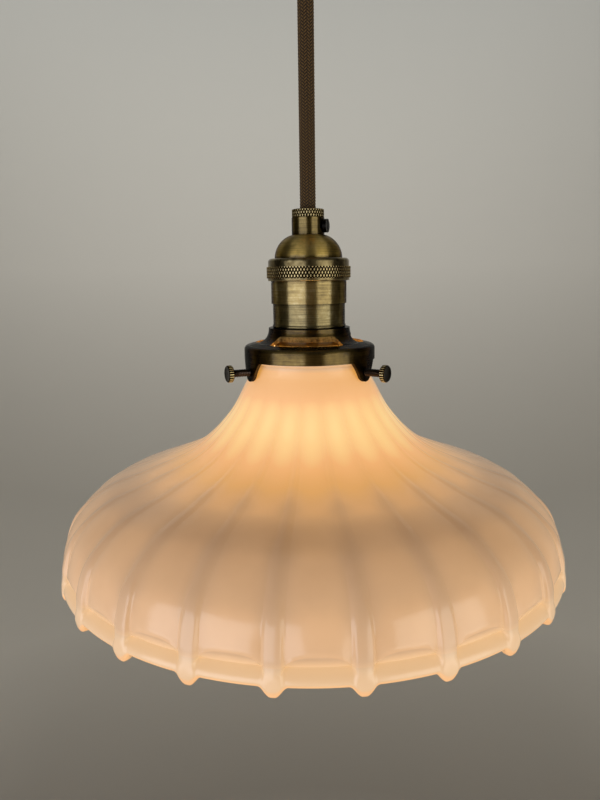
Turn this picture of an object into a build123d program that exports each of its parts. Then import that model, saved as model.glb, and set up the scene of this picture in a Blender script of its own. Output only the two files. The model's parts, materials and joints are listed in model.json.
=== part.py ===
from build123d import *
import math
import os

# Pendant ceiling light, in millimetres. The origin is on the ceiling, +Z is up and the front faces -Y.
# An azimuth is in degrees from the front, positive towards +X.

# Ceiling canopy
canopy_radius = 60.0
canopy_depth = 26.0
canopy_lip_height = 4.0
canopy_wall = 1.2
bar_length = 104.0
bar_width = 20.0
bar_thickness = 2.0
bar_slot_spacing = 78.0
bar_slot_length = 18.0
bar_slot_width = 5.0
stud_spacing = 44.0
stud_radius = 2.0
cap_nut_radius = 5.0
cap_nut_height = 8.0
cap_nut_dome = 3.0
cap_nut_thread_depth = 5.0
ground_screw_x = 12.0
ground_head_radius = 3.6
ground_head_height = 2.5

# Cord and the pivot at its upper end
cord_radius = 3.55
cord_drop = 96.0
pivot_ball_radius = 3.25
pivot_gap = 0.3
pivot_cup_height = 1.6
cord_end_below_dome = 7.5
tail_above_neck = 2.0

# Ceiling cord grip
ceiling_grip_drop = 18.0
ceiling_grip_collar_height = 7.0
ceiling_grip_collar_radius = 8.6
mouth_height = 3.0
mouth_radius = 6.9
throat_radius = 4.7
throat_height = 2.0
grip_neck_radius = 5.0
ceiling_neck_height = 9.0
lock_nut_flats = 12.0
lock_nut_height = 3.0

# Wires and their connectors
wire_radius = 0.9
wire_offset = 1.6
wire_bend = 4.0
socket_wire_bend = 1.1
ceiling_wire_rise = 5.7
connector_reach = 20.0
connector_length = 16.0
connector_mouth_radius = 4.6
connector_tip_radius = 2.6
connector_grip_depth = 4.0

# Cord grip on the socket
grip_cap_radius = 7.3
grip_cap_height = 3.7
grip_cap_spigot_radius = 5.4
grip_cap_spigot_depth = 1.8
barrel_radius = 7.45
barrel_height = 7.5
barrel_spigot_depth = 6.0
grip_screw_azimuth = 70.0
grip_screw_radius = 1.45
grip_screw_head_radius = 3.0
grip_screw_head_height = 1.6
grip_screw_stand_off = 0.3
grip_screw_slot = 0.7

# Socket outside
dome_radius = 15.5
dome_height = 10.5
dome_wall = 1.0
dome_flange_radius = 17.2
ring_radius = 18.6
ring_plain_height = 3.7
ring_edge_radius = 1.5
ring_plate = 1.3
knurl_radius = 19.25
knurl_height = 5.1
ring_lip_height = 1.2
ring_lip_radius = 18.8
upper_shell_radius = 17.4
upper_shell_show = 10.25
lower_shell_radius = 16.7
lower_shell_show = 11.1
lower_shell_overlap = 6.0
shell_wall = 0.6
bead_radius = 0.8
bead_stand = 0.3
skirt_radius = 16.2
skirt_length = 9.0
oval_slot_azimuth = 76.0
oval_slot_height = 4.2
oval_slot_width = 1.8
oval_slot_below_ring = 2.9

# Socket inside
liner_wall = 0.7
liner_below_ring = 4.0
base_below_ring = 6.0
base_height = 10.0
screw_shell_radius = 13.35
screw_shell_wall = 0.5
screw_shell_hole = 6.0
contact_disc_radius = 3.2
contact_disc_height = 0.5
contact_drop = 1.5
contact_post_radius = 1.2
terminal_offset = 9.5
terminal_radius = 1.6
terminal_length = 6.0
terminal_head_radius = 3.0
terminal_head_height = 2.5

# Shade holder
collar_height = 7.7
collar_radius = 18.9
collar_bore_thickness = 2.3
collar_bore_depth = 7.2
flare_radius = 6.0
flare_start = 0.7
holder_wall = 1.3
holder_radius = 30.5
holder_edge_radius = 2.0
band_height = 6.75
holder_arms = 3
vent_half_angle = 36.5
vent_inner_radius = 19.4
vent_outer_radius = 25.2
ear_half_width = 8.9
ear_tip_half_width = 4.6
ear_tip_height = 2.4
ear_waist_half_width = 5.9
ear_waist_height = 4.8
ear_drop = 9.0
ear_first_azimuth = 55.0

# Thumbscrews
thumb_screw_below_band = 4.8
thumb_shank_radius = 1.75
thumb_head_radius = 3.85
thumb_head_thickness = 2.5
thumb_head_stand_off = 8.2
thumb_teeth = 28
thumb_tooth_depth = 0.35
thumb_pin_radius = 0.9
thumb_pin_length = 2.0

# Opal glass shade
shade_lip_radius = 28.4
shade_lip_height = 6.0
shade_neck_radius = 27.6
shade_neck_start = 13.25
shade_panel_radius = 116.0
shade_panel_drop = 77.0
shade_wall = 4.0
shade_step_inset = 2.2
shade_step_height = 2.6
shade_rim_radius = 117.2
shade_rim_height = 8.7
shade_rim_thickness = 4.6
rib_count = 24
rib_height = 1.0
rib_depth_under_step = 1.0
rib_angle = 2.7
nub_half_width = 2.8
nub_foot_half_width = 4.9
nub_shoulder = 1.4
nub_drop = 3.8
nub_root = 3.0
# Shape of the bell between the neck and the panel's lower edge, as shares of its width and of its drop
bell_curve = ((0, 0), (0.03, 0.06), (0.114, 0.232), (0.285, 0.432), (0.543, 0.566), (0.787, 0.675),
              (0.944, 0.834), (1, 1))

# Bulb
bulb_contact_radius = 4.5
bulb_contact_height = 1.5
bulb_insulator_height = 4.0
bulb_cap_crest = 13.05
bulb_cap_root = 12.4
bulb_cap_wall = 1.0
bulb_cap_height = 20.0
bulb_cap_pitch = 3.63
bulb_cap_threads = 4
bulb_neck_radius = 13.6
bulb_radius = 30.0
bulb_equator_drop = 54.0
bulb_shoulder_slope = 0.2
bulb_glass_wall = 0.8
bulb_root_length = 6.0
stem_radius = 4.0
stem_length = 26.0
filament_count = 4
filament_radius = 0.9
filament_length = 30.0
filament_circle = 8.0

# Clearances
fit_gap = 0.05
slide_gap = 0.1
loose_gap = 0.3

# Heights, each worked out from the one above it
canopy_underside = -canopy_depth
mouth_level = canopy_underside - ceiling_grip_drop
pivot_level = mouth_level + mouth_height
grip_cap_top = mouth_level - cord_drop
barrel_top = grip_cap_top - grip_cap_height
dome_top = barrel_top - barrel_height
ring_top = dome_top - dome_height
knurl_top = ring_top - ring_plain_height
knurl_bottom = knurl_top - knurl_height
upper_shell_top = knurl_bottom - ring_lip_height
lower_shell_top = upper_shell_top - upper_shell_show
collar_top = lower_shell_top - lower_shell_show
holder_top = collar_top - collar_height
band_bottom = holder_top - band_height
thumb_level = band_bottom - thumb_screw_below_band
base_top = ring_top - base_below_ring
base_bottom = base_top - base_height
contact_bottom = base_bottom - contact_drop - contact_disc_height
bulb_top = contact_bottom - loose_gap
bulb_cap_top = bulb_top - bulb_contact_height - bulb_insulator_height
bulb_cap_bottom = bulb_cap_top - bulb_cap_height

# Radii shared by pieces that fit together
cord_bore = cord_radius + loose_gap
dome_flange_height = dome_wall
dome_flange_bottom = ring_top - ring_plate - dome_flange_height
liner_radius = skirt_radius - shell_wall - slide_gap
base_radius = liner_radius - liner_wall - slide_gap
thumb_tip = shade_neck_radius + loose_gap
thumb_head_face = holder_radius + thumb_head_stand_off

ON_BASE = (Align.CENTER, Align.CENTER, Align.MIN)


def cylinder(radius, low, high):
    """Upright cylinder on the axis between two heights."""
    return Pos(0, 0, low) * Cylinder(radius, high - low, align=ON_BASE)


def tube(outer, inner, low, high):
    """Upright tube on the axis between two heights."""
    return cylinder(outer, low, high) - cylinder(inner, low, high)


def turned(*edges):
    """Solid of revolution about Z of a closed outline of radius and height."""
    return revolve(Plane.XZ * make_face(edges), Axis.Z)


def turned_polygon(*points):
    """Solid of revolution about Z of a polygon of radius and height."""
    return turned(Polyline(*points, close=True))


def hexagon_nut(flats, bore, low, high):
    """Six-sided nut on the axis between two heights."""
    body = extrude(RegularPolygon(flats / 2, 6, major_radius=False), high - low)
    return Pos(0, 0, low) * body - cylinder(bore, low, high)


def along_x(radius, start, end):
    """Cylinder lying on the X axis between two distances."""
    return Pos(start, 0, 0) * Rot(0, 90, 0) * Cylinder(radius, end - start, align=ON_BASE)


def outward(solid, azimuth, level):
    """Turn a solid that lies along +X to an azimuth and lift it to a level."""
    return Pos(0, 0, level) * Rot(0, 0, azimuth - 90) * solid


def arc_point(centre, radius, degrees):
    """Point of a circle at an angle."""
    angle = math.radians(degrees)
    return centre[0] + radius * math.cos(angle), centre[1] + radius * math.sin(angle)


def wire_along(points, bend):
    """Round wire along straight runs joined by tangent arcs."""
    path = FilletPolyline(*points, radius=bend)
    return sweep(Plane(path @ 0, z_dir=path % 0) * Circle(wire_radius), path)


def canopy_form(radius, depth, lip):
    """Solid dish that hangs from the ceiling, with a quarter-round lower edge."""
    edge = depth - lip
    middle = arc_point((radius - edge, -lip), edge, -45)
    return turned(
        Polyline((0, -depth), (0, 0), (radius, 0), (radius, -lip)),
        ThreePointArc((radius, -lip), middle, (radius - edge, -depth)),
        Line((radius - edge, -depth), (0, -depth)),
    )


def stud_places():
    """Positions of the two canopy studs on the X axis."""
    return Locations((-stud_spacing / 2, 0), (stud_spacing / 2, 0))


def canopy_cover():
    """Spun cover with a hole for the cord grip and two for the studs."""
    hollow = canopy_form(canopy_radius - canopy_wall, canopy_depth - canopy_wall, canopy_lip_height)
    cover = canopy_form(canopy_radius, canopy_depth, canopy_lip_height) - hollow
    cover -= cylinder(grip_neck_radius + slide_gap, -canopy_depth, 0)
    hole = cylinder(stud_radius + loose_gap, -canopy_depth, 0)
    return cover - [place * hole for place in stud_places()]


def mounting_bar():
    """Flat bar on the ceiling box, with slots for the box screws."""
    outline = Rectangle(bar_length, bar_width) - Circle(grip_neck_radius + slide_gap)
    for side in (-1, 1):
        outline -= Pos(side * bar_slot_spacing / 2, 0) * SlotOverall(bar_slot_length, bar_slot_width)
    outline -= [place * Circle(stud_radius + fit_gap) for place in stud_places()]
    outline -= Pos(ground_screw_x, 0) * Circle(stud_radius + fit_gap)
    return Pos(0, 0, -bar_thickness) * extrude(outline, bar_thickness)


def canopy_studs():
    """Two threaded studs from the bar through the cover."""
    stud = cylinder(stud_radius, canopy_underside - cap_nut_thread_depth + slide_gap, 0)
    return [place * stud for place in stud_places()]


def canopy_cap_nuts():
    """Two blind nuts with domed ends that hold the cover up."""
    low = canopy_underside - cap_nut_height
    shoulder = low + cap_nut_dome
    dome = (cap_nut_radius ** 2 + cap_nut_dome ** 2) / (2 * cap_nut_dome)
    half_arc = math.degrees(math.asin(cap_nut_radius / dome)) / 2
    middle = arc_point((0, low + dome), dome, half_arc - 90)
    nut = turned(
        Polyline((0, low), (0, canopy_underside), (cap_nut_radius, canopy_underside),
                 (cap_nut_radius, shoulder)),
        ThreePointArc((cap_nut_radius, shoulder), middle, (0, low)),
    )
    nut -= cylinder(stud_radius + fit_gap, canopy_underside - cap_nut_thread_depth, canopy_underside)
    return [place * nut for place in stud_places()]


def ground_screw():
    """Hexagon-headed earth screw under the bar."""
    head_low = -bar_thickness - ground_head_height
    head = hexagon_nut(2 * ground_head_radius, stud_radius, head_low, -bar_thickness)
    shank = cylinder(stud_radius, head_low, 0)
    return Pos(ground_screw_x, 0, 0) * (head + shank)


def ceiling_grip():
    """Turned grip with a threaded neck and a bell mouth that the cord can swing in."""
    collar_level = mouth_level + ceiling_grip_collar_height
    neck_top = canopy_underside + ceiling_neck_height
    throat_top = pivot_level + throat_height
    body = turned_polygon(
        (cord_bore, neck_top), (grip_neck_radius, neck_top), (grip_neck_radius, canopy_underside),
        (barrel_radius, canopy_underside), (barrel_radius, collar_level),
        (ceiling_grip_collar_radius, collar_level), (ceiling_grip_collar_radius, mouth_level),
        (mouth_radius, mouth_level), (throat_radius, pivot_level), (throat_radius, throat_top),
        (cord_bore, throat_top),
    )
    return body - grip_screw_hole(ceiling_screw_level())


def ceiling_screw_level():
    """Height of the ceiling grip's set screw, half way down its barrel."""
    return (canopy_underside + mouth_level + ceiling_grip_collar_height) / 2


def lock_nut(seat, direction):
    """Six-sided nut on a grip's threaded neck, seated above (1) or below (-1) a plate."""
    low, high = sorted((seat, seat + direction * lock_nut_height))
    return hexagon_nut(lock_nut_flats, grip_neck_radius + fit_gap, low, high)


def grip_screw_hole(level):
    """Tapped hole for a set screw in a grip's barrel."""
    hole = along_x(grip_screw_radius + fit_gap, 0, ceiling_grip_collar_radius)
    return outward(hole, grip_screw_azimuth, level)


def grip_screw(level, tip):
    """Slotted set screw that points at the cord."""
    head_face = barrel_radius + grip_screw_stand_off
    end = head_face + grip_screw_head_height
    screw = along_x(grip_screw_radius, tip, head_face) + along_x(grip_screw_head_radius, head_face, end)
    slot = Box(grip_screw_head_height, grip_screw_slot, 2 * grip_screw_head_radius)
    return outward(screw - Pos(end, 0, 0) * slot, grip_screw_azimuth, level)


def tail_top():
    """Height where the cord's tail ends in the canopy."""
    return canopy_underside + ceiling_neck_height + tail_above_neck


def cord_cup():
    """Ball-shaped space about the pivot that both cord ends are hollowed by."""
    return Pos(0, 0, pivot_level) * Sphere(pivot_ball_radius + pivot_gap)


def cord_tail():
    """Cord inside the canopy and the ceiling grip."""
    return cylinder(cord_radius, pivot_level + pivot_cup_height, tail_top()) - cord_cup()


def cord_neck():
    """Ball of cord at the point where it bends."""
    return Pos(0, 0, pivot_level) * Sphere(pivot_ball_radius)


def cord():
    """Straight hanging cord from the pivot into the socket cap."""
    return cylinder(cord_radius, dome_top - cord_end_below_dome, pivot_level - pivot_cup_height) - cord_cup()


def ceiling_wire(side):
    """Wire from the cord's tail to its connector, on the -Y (-1) or +Y (1) side."""
    level = tail_top() + ceiling_wire_rise
    start = side * wire_offset
    end = side * (connector_reach + connector_grip_depth)
    return wire_along([(0, start, tail_top()), (0, start, level), (0, end, level)], wire_bend)


def wire_connectors():
    """Two tapered twist-on connectors."""
    cone = turned_polygon((0, 0), (connector_mouth_radius, 0), (connector_tip_radius, connector_length),
                          (0, connector_length))
    cone -= cylinder(wire_radius + fit_gap, 0, connector_grip_depth)
    level = tail_top() + ceiling_wire_rise
    return [Pos(0, side * connector_reach, level) * Rot(-90 * side, 0, 0) * cone for side in (-1, 1)]


def cord_grip_cap():
    """Knurled cap that screws into the grip's barrel."""
    spigot_end = barrel_top - grip_cap_spigot_depth
    return tube(grip_cap_radius, cord_bore, barrel_top, grip_cap_top) + tube(
        grip_cap_spigot_radius, cord_bore, spigot_end, barrel_top)


def cord_grip_barrel():
    """Barrel on top of the dome, with a threaded spigot that goes through it."""
    barrel = cylinder(barrel_radius, dome_top, barrel_top)
    barrel += cylinder(grip_neck_radius, dome_top - barrel_spigot_depth, dome_top)
    barrel -= cylinder(cord_bore, dome_top - barrel_spigot_depth, barrel_top)
    barrel -= cylinder(grip_cap_spigot_radius + slide_gap, barrel_top - grip_cap_spigot_depth, barrel_top)
    return barrel - grip_screw_hole(barrel_screw_level())


def barrel_screw_level():
    """Height of the set screw, half way up the grip's barrel."""
    return (dome_top + barrel_top) / 2


def dome_outline(inset):
    """Radius and height of the dome's arc centre, its radius and its upper end, set in by the wall."""
    narrow = dome_radius - barrel_radius
    radius = (narrow ** 2 + dome_height ** 2) / (2 * narrow)
    centre = (dome_radius - radius, ring_top)
    radius -= inset
    rise = dome_height - inset
    top = (centre[0] + math.sqrt(radius ** 2 - rise ** 2), ring_top + rise)
    half = math.degrees(math.asin(rise / radius)) / 2
    return top, arc_point(centre, radius, half), (dome_radius - inset, ring_top)


def socket_cap():
    """Domed cap with a flange that the socket ring holds down."""
    top, middle, foot = dome_outline(0)
    inner_top, inner_middle, inner_foot = dome_outline(dome_wall)
    hole = grip_neck_radius + slide_gap
    flange_top = dome_flange_bottom + dome_flange_height
    return turned(
        Line((hole, dome_top), top),
        ThreePointArc(top, middle, foot),
        Polyline(foot, (dome_radius, flange_top), (dome_flange_radius, flange_top),
                 (dome_flange_radius, dome_flange_bottom), (inner_foot[0], dome_flange_bottom), inner_foot),
        ThreePointArc(inner_foot, inner_middle, inner_top),
        Polyline(inner_top, (hole, dome_top - dome_wall), (hole, dome_top)),
    )


def socket_ring():
    """Ring with a knurled band that screws on to the upper shell."""
    bore = upper_shell_radius + slide_gap
    hole = dome_radius + slide_gap
    plate_low = ring_top - ring_plate
    lip_low = upper_shell_top
    edge = (ring_radius - ring_edge_radius, ring_top - ring_edge_radius)
    return turned(
        Line((hole, ring_top), (edge[0], ring_top)),
        ThreePointArc((edge[0], ring_top), arc_point(edge, ring_edge_radius, 45), (ring_radius, edge[1])),
        Polyline((ring_radius, edge[1]), (ring_radius, knurl_top), (knurl_radius, knurl_top),
                 (knurl_radius, knurl_bottom), (ring_lip_radius, knurl_bottom), (ring_lip_radius, lip_low),
                 (bore, lip_low), (bore, plate_low), (hole, plate_low), (hole, ring_top)),
    )


def upper_shell():
    """Upper shell of the socket, with a small oval slot in its side."""
    shell = tube(upper_shell_radius, upper_shell_radius - shell_wall, lower_shell_top, dome_flange_bottom)
    opening = SlotOverall(oval_slot_height, oval_slot_width)
    cutter = Rot(0, 90, 0) * extrude(opening, upper_shell_radius + slide_gap)
    return shell - outward(cutter, oval_slot_azimuth, upper_shell_top - oval_slot_below_ring)


def lower_shell():
    """Lower shell with a bead at its foot and a threaded skirt inside the shade holder's collar."""
    inner = lower_shell_radius - shell_wall
    skirt_low = collar_top - skirt_length
    skirt_inner = skirt_radius - shell_wall
    bead_top = collar_top + 2 * bead_radius
    bead_middle = (lower_shell_radius + bead_stand, collar_top + bead_radius)
    top = lower_shell_top + lower_shell_overlap
    return turned(
        Polyline((inner, top), (lower_shell_radius, top), (lower_shell_radius, bead_top)),
        ThreePointArc((lower_shell_radius, bead_top), bead_middle, (lower_shell_radius, collar_top)),
        Polyline((lower_shell_radius, collar_top), (skirt_radius, collar_top), (skirt_radius, skirt_low),
                 (skirt_inner, skirt_low), (skirt_inner, bead_top), (inner, bead_top), (inner, top)),
    )


def insulating_liner():
    """Fibre sleeve between the shells and the socket's live parts."""
    return tube(liner_radius, liner_radius - liner_wall, collar_top - skirt_length,
                ring_top - liner_below_ring)


def terminal_places():
    """Positions of the two terminal screws on the X axis."""
    return Locations((-terminal_offset, 0), (terminal_offset, 0))


def socket_base():
    """Moulded block that carries the contacts and terminals."""
    block = cylinder(base_radius, base_bottom, base_top)
    block -= cylinder(contact_post_radius + fit_gap, base_bottom, base_top)
    hole = cylinder(terminal_radius + fit_gap, base_top - terminal_length, base_top)
    return block - [place * hole for place in terminal_places()]


def terminal_screw(side):
    """Terminal screw on the -X (-1) or +X (1) side of the base."""
    screw = cylinder(terminal_radius, base_top - terminal_length, base_top)
    screw += cylinder(terminal_head_radius, base_top, base_top + terminal_head_height)
    return Pos(side * terminal_offset, 0, 0) * screw


def socket_wire(side):
    """Wire from the cord's end to the terminal screw on the -X (-1) or +X (1) side."""
    high = dome_top - cord_end_below_dome
    low = base_top + terminal_head_height
    third = (high - low) / 3
    near = side * wire_offset
    far = side * terminal_offset
    top = high - loose_gap
    return wire_along([(near, 0, top), (near, 0, high - third), (far, 0, low + third), (far, 0, low)],
                      socket_wire_bend)


def screw_shell():
    """Screw shell that the bulb's cap turns in."""
    outer = screw_shell_radius + screw_shell_wall
    rim = tube(outer, screw_shell_hole, base_bottom - screw_shell_wall, base_bottom)
    return rim + tube(outer, screw_shell_radius, collar_top - skirt_length, base_bottom)


def centre_contact():
    """Contact disc on a post through the base."""
    disc_top = contact_bottom + contact_disc_height
    return cylinder(contact_disc_radius, contact_bottom, disc_top) + cylinder(
        contact_post_radius, disc_top, base_top)


def holder_bowl():
    """Turned body of the shade holder: collar, flare, flange and band."""
    bore = skirt_radius + slide_gap
    flare_top = collar_top - flare_start
    centre = (collar_radius + flare_radius, flare_top)
    outer_end = (centre[0], flare_top - flare_radius)
    inner_radius = flare_radius + holder_wall
    thick = bore + collar_bore_thickness
    reach = math.degrees(math.acos((thick - centre[0]) / inner_radius))
    inner_start = arc_point(centre, inner_radius, -reach)
    inner_end = (centre[0], flare_top - inner_radius)
    edge = (holder_radius - holder_edge_radius, holder_top - holder_edge_radius)
    edge_middle = arc_point(edge, holder_edge_radius, 45)
    band_inner = holder_radius - holder_wall
    under = holder_top - holder_wall
    bore_low = collar_top - collar_bore_depth
    return turned(
        Polyline((bore, bore_low), (bore, collar_top), (collar_radius, collar_top),
                 (collar_radius, flare_top)),
        ThreePointArc((collar_radius, flare_top), arc_point(centre, flare_radius, 225), outer_end),
        Line(outer_end, (edge[0], holder_top)),
        ThreePointArc((edge[0], holder_top), edge_middle, (holder_radius, edge[1])),
        Polyline((holder_radius, edge[1]), (holder_radius, band_bottom), (band_inner, band_bottom),
                 (band_inner, under), (edge[0] - holder_wall, under), inner_end),
        ThreePointArc(inner_end, arc_point(centre, inner_radius, -(reach + 90) / 2), inner_start),
        Polyline(inner_start, (thick, bore_low), (bore, bore_low)),
    )


def vent_slot():
    """Curved slot through the flare, centred on +X, with round ends."""
    middle = (vent_inner_radius + vent_outer_radius) / 2
    width = vent_outer_radius - vent_inner_radius
    half = math.radians(vent_half_angle)
    start = (middle * math.cos(half), -middle * math.sin(half))
    end = (middle * math.cos(half), middle * math.sin(half))
    outline = SlotArc(ThreePointArc(start, (middle, 0), end), width)
    low = band_bottom
    return Pos(0, 0, low) * extrude(outline, collar_top - low)


def ear():
    """Ear of the holder's band on +X, with the tapped hole for its thumbscrew."""
    top = band_height / 2 + ear_drop
    shoulder, waist, tip = [
        [(side * width, height) for side in (-1, 1)]
        for width, height in (
            (ear_half_width, ear_drop),
            (ear_waist_half_width, ear_waist_height),
            (ear_tip_half_width, ear_tip_height),
        )
    ]
    outline = make_face(
        [
            Polyline(shoulder[0], (-ear_half_width, top), (ear_half_width, top), shoulder[1]),
            ThreePointArc(shoulder[1], waist[1], tip[1]),
            ThreePointArc(tip[1], (0, 0), tip[0]),
            ThreePointArc(tip[0], waist[0], shoulder[0]),
        ]
    )
    low = band_bottom - ear_drop
    prism = Plane((0, 0, low), x_dir=(0, 1, 0), z_dir=(1, 0, 0)) * extrude(outline, holder_radius)
    wall = tube(holder_radius, holder_radius - holder_wall, low, low + top)
    return (wall & prism) - Pos(0, 0, thumb_level) * along_x(thumb_shank_radius + fit_gap, 0, holder_radius)


def arm_azimuths():
    """Azimuths of the holder's ears."""
    return [ear_first_azimuth + 360 / holder_arms * i for i in range(holder_arms)]


def shade_holder():
    """Shade holder with vent slots between its ears."""
    holder = holder_bowl()
    for azimuth in arm_azimuths():
        holder -= outward(vent_slot(), azimuth + 180 / holder_arms, 0)
        holder += outward(ear(), azimuth, 0)
    return holder


def thumb_shank(azimuth):
    """Threaded shank of a thumbscrew, with a pin that carries its head."""
    shank = along_x(thumb_shank_radius, thumb_tip, thumb_head_face)
    shank += along_x(thumb_pin_radius, thumb_head_face, thumb_head_face + thumb_pin_length)
    return outward(shank, azimuth, thumb_level)


def thumb_head(azimuth):
    """Knurled head of a thumbscrew."""
    points = []
    for i in range(2 * thumb_teeth):
        radius = thumb_head_radius - thumb_tooth_depth * (i % 2)
        points.append(arc_point((0, 0), radius, 180 / thumb_teeth * i))
    head = extrude(make_face(Polyline(*points, close=True)), thumb_head_thickness)
    head -= cylinder(thumb_pin_radius + fit_gap, 0, thumb_pin_length + fit_gap)
    return outward(Pos(thumb_head_face, 0, 0) * Rot(0, 90, 0) * head, azimuth, thumb_level)


def bell_points():
    """Points of the panels' outer curve, from the neck to the lower edge."""
    width = shade_panel_radius - shade_neck_radius
    top = holder_top - shade_neck_start
    return [(shade_neck_radius + u * width, top - v * shade_panel_drop) for u, v in bell_curve]


def moved_out(points, distance):
    """Points of an outline moved square to it, outward for a positive distance."""
    moved = []
    for i, (radius, height) in enumerate(points):
        before = points[max(i - 1, 0)]
        after = points[min(i + 1, len(points) - 1)]
        run = (after[0] - before[0], after[1] - before[1])
        length = math.hypot(*run)
        moved.append((radius - distance * run[1] / length, height + distance * run[0] / length))
    return moved


def shade_body():
    """Turned body of the shade: lip, neck, bell, panel step and rim."""
    outer = bell_points()
    inner = moved_out(outer, -shade_wall)
    lip_top = holder_top - holder_wall
    lip_low = lip_top - shade_lip_height
    edge = outer[-1]
    rim_low = edge[1] - shade_step_height - shade_rim_height
    step = (edge[0] - shade_step_inset, edge[1] - shade_step_height)
    return turned(
        Polyline(inner[0], (inner[0][0], lip_top), (shade_lip_radius, lip_top), (shade_lip_radius, lip_low),
                 (shade_neck_radius, (lip_low + outer[0][1]) / 2), outer[0]),
        Spline(*outer),
        Polyline(edge, step, (shade_rim_radius, rim_low), (shade_rim_radius - shade_rim_thickness, rim_low),
                 inner[-1]),
        Spline(*reversed(inner)),
    )


def shade_rib():
    """Raised rib over one joint between two panels, on +X."""
    panel = bell_points()[1:]
    crest = moved_out(panel, -loose_gap)[:1] + moved_out(panel, rib_height)[1:]
    root = moved_out(panel, -(shade_step_inset + rib_depth_under_step))
    rim_low = panel[-1][1] - shade_step_height - shade_rim_height
    crest_foot = (shade_rim_radius + rib_height, rim_low)
    root_foot = (shade_rim_radius - shade_rim_thickness / 2, rim_low)
    outline = make_face(
        [
            Spline(*crest),
            Polyline(crest[-1], crest_foot, root_foot, root[-1]),
            Spline(*reversed(root)),
            Line(root[0], crest[0]),
        ]
    )
    rib = revolve(Plane.XZ * outline, Axis.Z, revolution_arc=rib_angle)
    return Rot(0, 0, -rib_angle / 2) * rib


def shade_nub():
    """Rounded nub under the rim at one rib, on +X."""
    rim_low = bell_points()[-1][1] - shade_step_height - shade_rim_height
    left, right = (-nub_half_width, -nub_shoulder), (nub_half_width, -nub_shoulder)
    outline = make_face(
        [
            Polyline(left, (-nub_foot_half_width, 0), (-nub_foot_half_width, nub_root),
                     (nub_foot_half_width, nub_root), (nub_foot_half_width, 0), right),
            ThreePointArc(right, (0, -nub_drop), left),
        ]
    )
    inner = shade_rim_radius - shade_rim_thickness
    face = Plane((inner, 0, rim_low), x_dir=(0, 1, 0), z_dir=(1, 0, 0))
    return face * extrude(outline, shade_rim_thickness)


def glass_shade():
    """Moulded opal shade with a rib and a nub at each joint between panels."""
    pieces = [shade_body()]
    rib, nub = shade_rib(), shade_nub()
    for i in range(rib_count):
        turn = Rot(0, 0, 360 / rib_count * (i + 0.5))
        pieces += [turn * rib, turn * nub]
    return pieces[0].fuse(*pieces[1:])


def bulb_contact():
    """Solder contact at the tip of the bulb's cap."""
    return cylinder(bulb_contact_radius, bulb_top - bulb_contact_height, bulb_top)


def bulb_insulator():
    """Glass insulator between the contact and the cap."""
    high = bulb_top - bulb_contact_height
    inner = bulb_cap_root - bulb_cap_wall
    return turned_polygon((0, bulb_cap_top), (inner, bulb_cap_top), (bulb_contact_radius, high), (0, high))


def bulb_cap():
    """Screw cap with rounded threads."""
    inner = bulb_cap_root - bulb_cap_wall
    start = bulb_cap_top - bulb_cap_pitch / 2
    edges = []
    for i in range(bulb_cap_threads):
        high = (bulb_cap_root, start - i * bulb_cap_pitch)
        low = (bulb_cap_root, high[1] - bulb_cap_pitch)
        edges.append(ThreePointArc(high, (bulb_cap_crest, high[1] - bulb_cap_pitch / 2), low))
    return turned(
        Polyline((inner, bulb_cap_bottom), (inner, bulb_cap_top), (bulb_cap_root, bulb_cap_top),
                 (bulb_cap_root, start)),
        *edges,
        Polyline((bulb_cap_root, start - bulb_cap_threads * bulb_cap_pitch), (bulb_cap_root, bulb_cap_bottom),
                 (inner, bulb_cap_bottom)),
    )


def bulb_form(inset):
    """Solid form of the bulb's glass, set in by its wall."""
    neck = bulb_neck_radius - inset
    radius = bulb_radius - inset
    low = bulb_cap_bottom - loose_gap
    equator = low - bulb_equator_drop
    root = bulb_cap_root - bulb_cap_wall - loose_gap - inset
    root_top = low + bulb_root_length - inset
    return turned(
        Polyline((0, equator - radius), (0, root_top), (root, root_top), (root, low), (neck, low - inset)),
        Spline((neck, low - inset), (radius, equator), tangents=((bulb_shoulder_slope, -1), (0, -1))),
        ThreePointArc((radius, equator), arc_point((0, equator), radius, -45), (0, equator - radius)),
    )


def bulb_envelope():
    """Blown glass of the bulb."""
    return bulb_form(0) - bulb_form(bulb_glass_wall)


def bulb_stem():
    """Glass stem inside the bulb, from the root of the envelope."""
    top = bulb_cap_bottom - loose_gap + bulb_root_length - bulb_glass_wall
    return cylinder(stem_radius, top - stem_length, top)


def bulb_filaments():
    """Upright light-emitting filaments round the bulb's axis, on a hub under the stem."""
    stem_low = bulb_cap_bottom - loose_gap + bulb_root_length - bulb_glass_wall - stem_length
    hub = cylinder(filament_circle, stem_low - filament_radius, stem_low)
    for i in range(filament_count):
        place = Rot(0, 0, 360 / filament_count * i) * Pos(filament_circle, 0, 0)
        hub += place * cylinder(filament_radius, stem_low - filament_length, stem_low)
    return hub


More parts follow.
